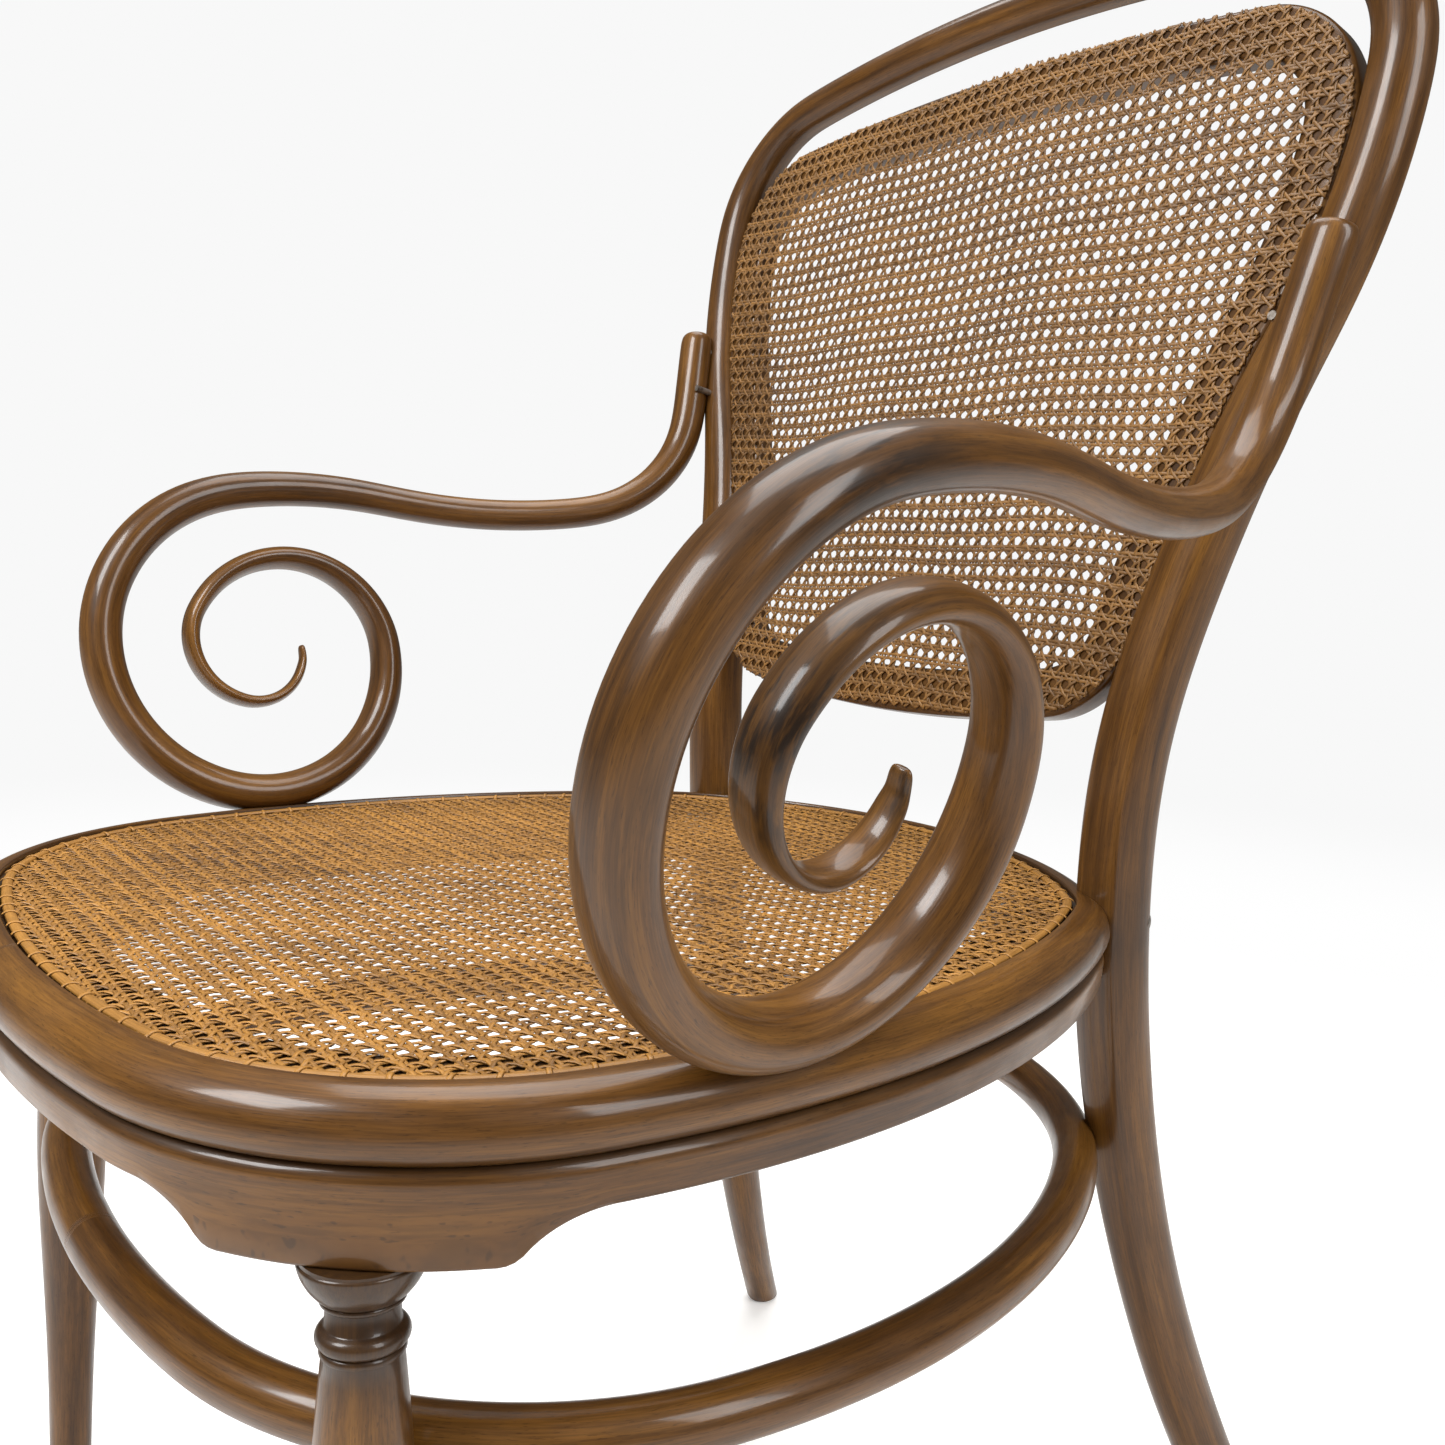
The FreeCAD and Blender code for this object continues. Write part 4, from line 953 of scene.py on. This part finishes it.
def weave(polygon, centre, wobble, lift, name, material, replaces, place, seed, width_of,
          pair_gap):
    """Six-way weave: pairs across and up, and single diagonals between them."""
    rng = np.random.default_rng(seed)
    strands = []
    half = int(WEAVE_REACH / PITCH) + 1
    for kind in ("up", "across", "rise", "fall"):
        for k in range(-half * 2, half * 2 + 1):
            if kind in ("up", "across"):
                for pair in (-1, 1):
                    offset = (k + 0.5) * PITCH + pair * pair_gap / 2
                    strands.append((kind, offset, pair * (1 if k % 2 else -1)))
            else:
                strands.append((kind, (k + 0.5) * PITCH / math.sqrt(2), 0))
    all_points, all_faces, all_grain, all_strand, all_painted_shade = [], [], [], [], []
    caps, caps3 = [], []
    total = 0
    profile = np.array([(-0.5, 0.0), (-0.28, 0.45), (0.28, 0.45), (0.5, 0.0), (0.0, -0.35)])
    for kind, offset, pair in strands:
        way = np.array(WAYS[kind])
        side = np.array([-way[1], way[0]])
        start = centre + side * offset
        for enter, leave in inside_spans(polygon, start, way):
            if leave - enter < 6.0:
                continue
            step = PITCH / 4 if kind in ("up", "across") else PITCH / 4 * 1.12
            count = max(3, int((leave - enter) / step) + 1)
            t = np.linspace(enter, leave, count)
            flat = start + np.outer(t, way)
            local = flat - centre
            phase_x = 2 * np.pi * (local[:, 0] / PITCH)
            phase_y = 2 * np.pi * (local[:, 1] / PITCH)
            if kind == "up":
                level = 0.35 * pair * np.sin(phase_y + 0.3) - 0.10
            elif kind == "across":
                level = 0.35 * pair * np.sin(phase_x + 0.3) + 0.10
            elif kind == "rise":
                level = 0.62 * -np.cos(phase_x) + 0.05
            else:
                level = 0.62 * np.cos(phase_x) - 0.05
            drift = rng.normal(0, 0.16)
            waver = wobble(flat)
            width = width_of * rng.uniform(0.88, 1.06)
            if kind in ("rise", "fall"):
                width *= 0.94
            middle = flat + waver + side * (drift + 0.10 * np.sin(t / 17.0 + offset))[:, None]
            tangent = np.gradient(middle, axis=0)
            tangent /= np.linalg.norm(tangent, axis=1)[:, None]
            across = np.stack([-tangent[:, 1], tangent[:, 0]], axis=1)
            tilt = rng.normal(0, 0.05) + 0.06 * np.sin(t / 23.0 + offset * 3)
            u = profile[None, :, 0] * width
            h = profile[None, :, 1] * STRAND_THICK * 1.3
            flat_points = middle[:, None, :] + across[:, None, :] * u[..., None]
            height = lift(flat)[:, None] + level[:, None] + h + tilt[:, None] * u
            skin = place(flat_points[..., 0], flat_points[..., 1], height)
            rows, columns = skin.shape[:2]
            faces = grid_faces(rows, columns) + total
            all_faces.append(faces[:, ::-1])
            all_points.append(skin.reshape(-1, 3))
            grain = np.zeros_like(skin)
            grain[..., 0] = (t + rng.uniform(0, 900))[:, None]
            grain[..., 1] = u + offset
            grain[..., 2] = h
            all_grain.append(grain.reshape(-1, 3))
            all_strand.append(np.full(rows * columns, rng.uniform(0, 1)))
            # Painted shade: strands are darker where they dip low under the crossing strands and on
            # their undersides.
            low = np.clip((-level[:, None] + 0.3 - h * 0.8) * 0.35, 0, 0.5)
            all_painted_shade.append(np.broadcast_to(low, (rows, columns)).ravel())
            total += rows * columns
            for end in (0, rows - 1):
                ring = total - rows * columns + end * columns
                ends = ring + np.array([[0, 1, 2, 3], [3, 4, 0, 0]])
                caps.append(ends[0] if end == 0 else ends[0][::-1])
                points3 = ends[1][:3]
                caps3.append(points3 if end == 0 else points3[::-1])
    return add_piece(name, np.vstack(all_points), [np.vstack(all_faces), np.array(caps),
                                                    np.array(caps3)], material,
                     replaces, np.vstack(all_grain),
                     {"strand": np.concatenate(all_strand), "painted_shade_and_stain": np.concatenate(all_painted_shade)})


def seat_polygon(inset):
    points, outward, run = closed_line((0.0, -SEAT_FRONT), SEAT_STEPS, 6.0)
    return points - outward * inset


def make_seat_cane():
    def wobble(flat):
        x, y = flat[:, 0], flat[:, 1]
        return np.stack([0.5 * np.sin(y / 61.0 + 1.0) + 0.35 * np.sin(x / 37.0 + y / 53.0),
                         0.5 * np.sin(x / 57.0 + 2.0) + 0.35 * np.sin(y / 41.0 - x / 67.0)], axis=1)

    centre = np.array([0.0, -SEAT_FRONT + SEAT_DEPTH / 2])

    def lift(flat):
        r = np.linalg.norm((flat - centre) / (215.0, 232.0), axis=1)
        return -3.0 * np.clip(1 - r ** 2, 0, 1)

    def place(x, y, h):
        return np.stack([x, y, CANE_Z + h], axis=-1)
    weave(seat_polygon(2.2), centre, wobble, lift, "seat_cane_weave", SEAT_CANE,
          ["seat_cane"], place, 11, 2.15, 2.25)


def make_back_cane():
    points, outward, run = panel_line(6.0)
    polygon = points - outward * 1.6

    def wobble(flat):
        x, r = flat[:, 0], flat[:, 1]
        return np.stack([0.8 * np.sin(r / 47.0 + 1.0) + 0.5 * np.sin(x / 39.0 + r / 31.0),
                         1.3 * np.sin(x / 52.0 + 0.5) + 0.8 * np.sin(x / 23.0 + r / 71.0)], axis=1)

    def lift(flat):
        return np.zeros(len(flat))

    def place(x, r, h):
        return panel_place(x, r, PANEL_FRONT + 0.75 + h)
    centre = np.array([0.0, (PANEL_TOP + PANEL_BOTTOM) / 2])
    weave(polygon, centre, wobble, lift, "back_cane_weave", BACK_CANE, ["back_cane"],
          place, 23, 1.85, 2.0)


def make_binder():
    low = CANE_Z + 0.5
    profile = [(-6.5, low), (-5.9, low + 0.75), (-4.6, low + 1.3), (-3.2, low + 1.3),
               (-2.0, low + 0.8), (-1.5, low), (-4.0, low - 0.2)]
    sweep_ring("seat_binder_strip", profile[::-1], SEAT_CANE, ["seat_cane_binder"],
               sharp=None, values={"strand": 0.55, "painted_shade_and_stain": 0.0}, spacing=6.0)
    points, outward, run = closed_line((0.0, -SEAT_FRONT), SEAT_STEPS, 1.0, 1.0)
    rng = np.random.default_rng(5)
    all_points, all_faces, all_grain = [], [], []
    total = 0
    perimeter = run[-1]
    count = int(perimeter / (2 * PITCH))
    for k in range(count):
        index = int(np.searchsorted(run, perimeter * (k + rng.uniform(0.35, 0.65)) / count))
        place, way = points[index], outward[index]
        along = np.array([-way[1], way[0]])
        skew = rng.uniform(-0.35, 0.1)
        rows = []
        for share in np.linspace(0, 1, 9):
            out = -7.6 + 7.0 * share
            height = low + 1.55 * math.sin(math.pi * share) ** 0.6 - 0.1
            middle = place + way * out + along * skew * (share - 0.5) * 7.0
            ring = []
            for u, h in ((-1.1, 0.0), (-0.6, 0.42), (0.6, 0.42), (1.1, 0.0), (0.0, -0.2)):
                p = middle + along * u
                ring.append((p[0], p[1], height + h))
            rows.append(ring)
        skin = np.array(rows)
        all_points.append(skin.reshape(-1, 3))
        all_faces.append(grid_faces(9, 5) + total)
        grain = np.zeros_like(skin)
        grain[..., 0] = np.linspace(0, 8, 9)[:, None] + 50 * k
        grain[..., 1] = np.array([-1.1, -0.6, 0.6, 1.1, 0.0])[None, :]
        all_grain.append(grain.reshape(-1, 3))
        total += 45
    points = np.vstack(all_points)
    add_piece("seat_binder_ties", points, [np.vstack(all_faces)], SEAT_CANE, (),
              np.vstack(all_grain), {"strand": np.full(len(points), 0.85),
                                     "painted_shade_and_stain": np.zeros(len(points))})


make_rear_member()
make_arms()
make_seat_ring()
make_apron()
make_stretcher()
make_front_legs()
make_panel_frame()
make_seat_cane()
make_back_cane()
make_binder()

for name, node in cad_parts.items():
    if "screw" in name or "bolt" in name:
        node.data.materials.clear()
        node.data.materials.append(STEEL)


# Floor, light and camera

def make_floor():
    material, tree, nodes, links, shader = new_material("pale_floor")
    place = nodes.new("ShaderNodeTexCoord").outputs["Object"]
    grain = noise(tree, place, (3.0, 3.0, 3.0), 3.0)
    base = ramp(nodes, [(0.3, (0.90, 0.90, 0.895)), (0.7, (0.93, 0.93, 0.93))])
    links.new(grain, base.inputs["Fac"])
    links.new(base.outputs["Color"], shader.inputs["Base Color"])
    shader.inputs["Roughness"].default_value = 0.9
    shader.inputs["Specular IOR Level"].default_value = 0.1
    glow = nodes.new("ShaderNodeEmission")
    glow.inputs["Color"].default_value = (1, 1, 1, 1)
    rays = nodes.new("ShaderNodeLightPath")
    seen = rays.outputs["Is Camera Ray"]
    links.new(math_node(tree, "MULTIPLY", seen, 0.22), glow.inputs["Strength"])
    total = nodes.new("ShaderNodeAddShader")
    links.new(shader.outputs[0], total.inputs[0])
    links.new(glow.outputs[0], total.inputs[1])
    length = nodes.new("ShaderNodeVectorMath")
    length.operation = "LENGTH"
    links.new(place, length.inputs[0])
    away = length.outputs["Value"]
    plain = nodes.new("ShaderNodeEmission")
    tone = ramp(nodes, [(0.0, (1.0, 1.0, 1.0)), (1.0, (0.939, 0.939, 0.939))])
    links.new(map_range(tree, away, 2.0, 3.4), tone.inputs["Fac"])
    links.new(tone.outputs["Color"], plain.inputs["Color"])
    far = math_node(tree, "MULTIPLY", map_range(tree, away, 0.9, 1.8), seen)
    mix = nodes.new("ShaderNodeMixShader")
    links.new(far, mix.inputs[0])
    links.new(total.outputs[0], mix.inputs[1])
    links.new(plain.outputs[0], mix.inputs[2])
    links.new(mix.outputs[0], nodes["Material Output"].inputs["Surface"])
    mesh = bpy.data.meshes.new("floor")
    size = 12.0
    mesh.from_pydata([(-size, -size, 0), (size, -size, 0), (size, size, 0), (-size, size, 0)], [],
                     [(0, 1, 2, 3)])
    mesh.materials.append(material)
    floor = bpy.data.objects.new("floor", mesh)
    bpy.context.scene.collection.objects.link(floor)


def add_light(name, place, target, size, power):
    data = bpy.data.lights.new(name, "AREA")
    data.shape = "RECTANGLE"
    data.size, data.size_y = size
    data.energy = power
    lamp = bpy.data.objects.new(name, data)
    lamp.location = place
    lamp.rotation_euler = (Vector(target) - Vector(place)).to_track_quat("-Z", "Y").to_euler()
    bpy.context.scene.collection.objects.link(lamp)


def make_world():
    world = bpy.data.worlds.new("studio")
    bpy.context.scene.world = world
    world.use_nodes = True
    tree = world.node_tree
    nodes, links = tree.nodes, tree.links
    rays = nodes.new("ShaderNodeLightPath")
    seen = math_node(tree, "ADD", rays.outputs["Is Camera Ray"],
                     rays.outputs["Is Transmission Ray"], clamp=True)
    soft = nodes["Background"]
    soft.inputs["Color"].default_value = (1.0, 0.965, 0.90, 1)
    links.new(map_range(tree, rays.outputs["Is Glossy Ray"], 0.0, 1.0, 0.46, 0.13),
              soft.inputs["Strength"])
    plain = nodes.new("ShaderNodeBackground")
    plain.inputs["Color"].default_value = (0.939, 0.939, 0.939, 1)
    plain.inputs["Strength"].default_value = 1.0
    mix = nodes.new("ShaderNodeMixShader")
    links.new(seen, mix.inputs[0])
    links.new(soft.outputs[0], mix.inputs[1])
    links.new(plain.outputs[0], mix.inputs[2])
    links.new(mix.outputs[0], nodes["World Output"].inputs["Surface"])


def make_camera():
    data = bpy.data.cameras.new("camera")
    data.sensor_width = 36.0
    data.sensor_fit = "AUTO"
    data.lens = 34.41
    data.clip_start = 0.02
    data.clip_end = 60.0
    yaw, pitch, roll = 0.920, 0.122, 0.033
    look = Vector((-math.sin(yaw) * math.cos(pitch), math.cos(yaw) * math.cos(pitch),
                   -math.sin(pitch)))
    side = Vector((math.cos(yaw), math.sin(yaw), 0.0))
    top = side.cross(look)
    right = math.cos(roll) * side + math.sin(roll) * top
    up = -math.sin(roll) * side + math.cos(roll) * top
    camera = bpy.data.objects.new("camera", data)
    place = Vector((601.4, -583.5 + SHIFT_Y, 632.7)) / 1000
    camera.matrix_world = Matrix(((right.x, up.x, -look.x, place.x),
                                  (right.y, up.y, -look.y, place.y),
                                  (right.z, up.z, -look.z, place.z), (0, 0, 0, 1)))
    bpy.context.scene.collection.objects.link(camera)
    bpy.context.scene.camera = camera


make_floor()
make_world()
add_light("key", (-0.1, -1.7, 2.1), (0, 0, 0.55), (0.9, 0.9), 52)
add_light("side", (1.8, 0.3, 1.7), (0, 0, 0.6), (0.7, 1.3), 26)
add_light("top", (-0.4, 0.3, 2.8), (0, 0, 0.5), (1.8, 1.8), 55)
make_camera()
bpy.context.scene.view_settings.view_transform = "Standard"
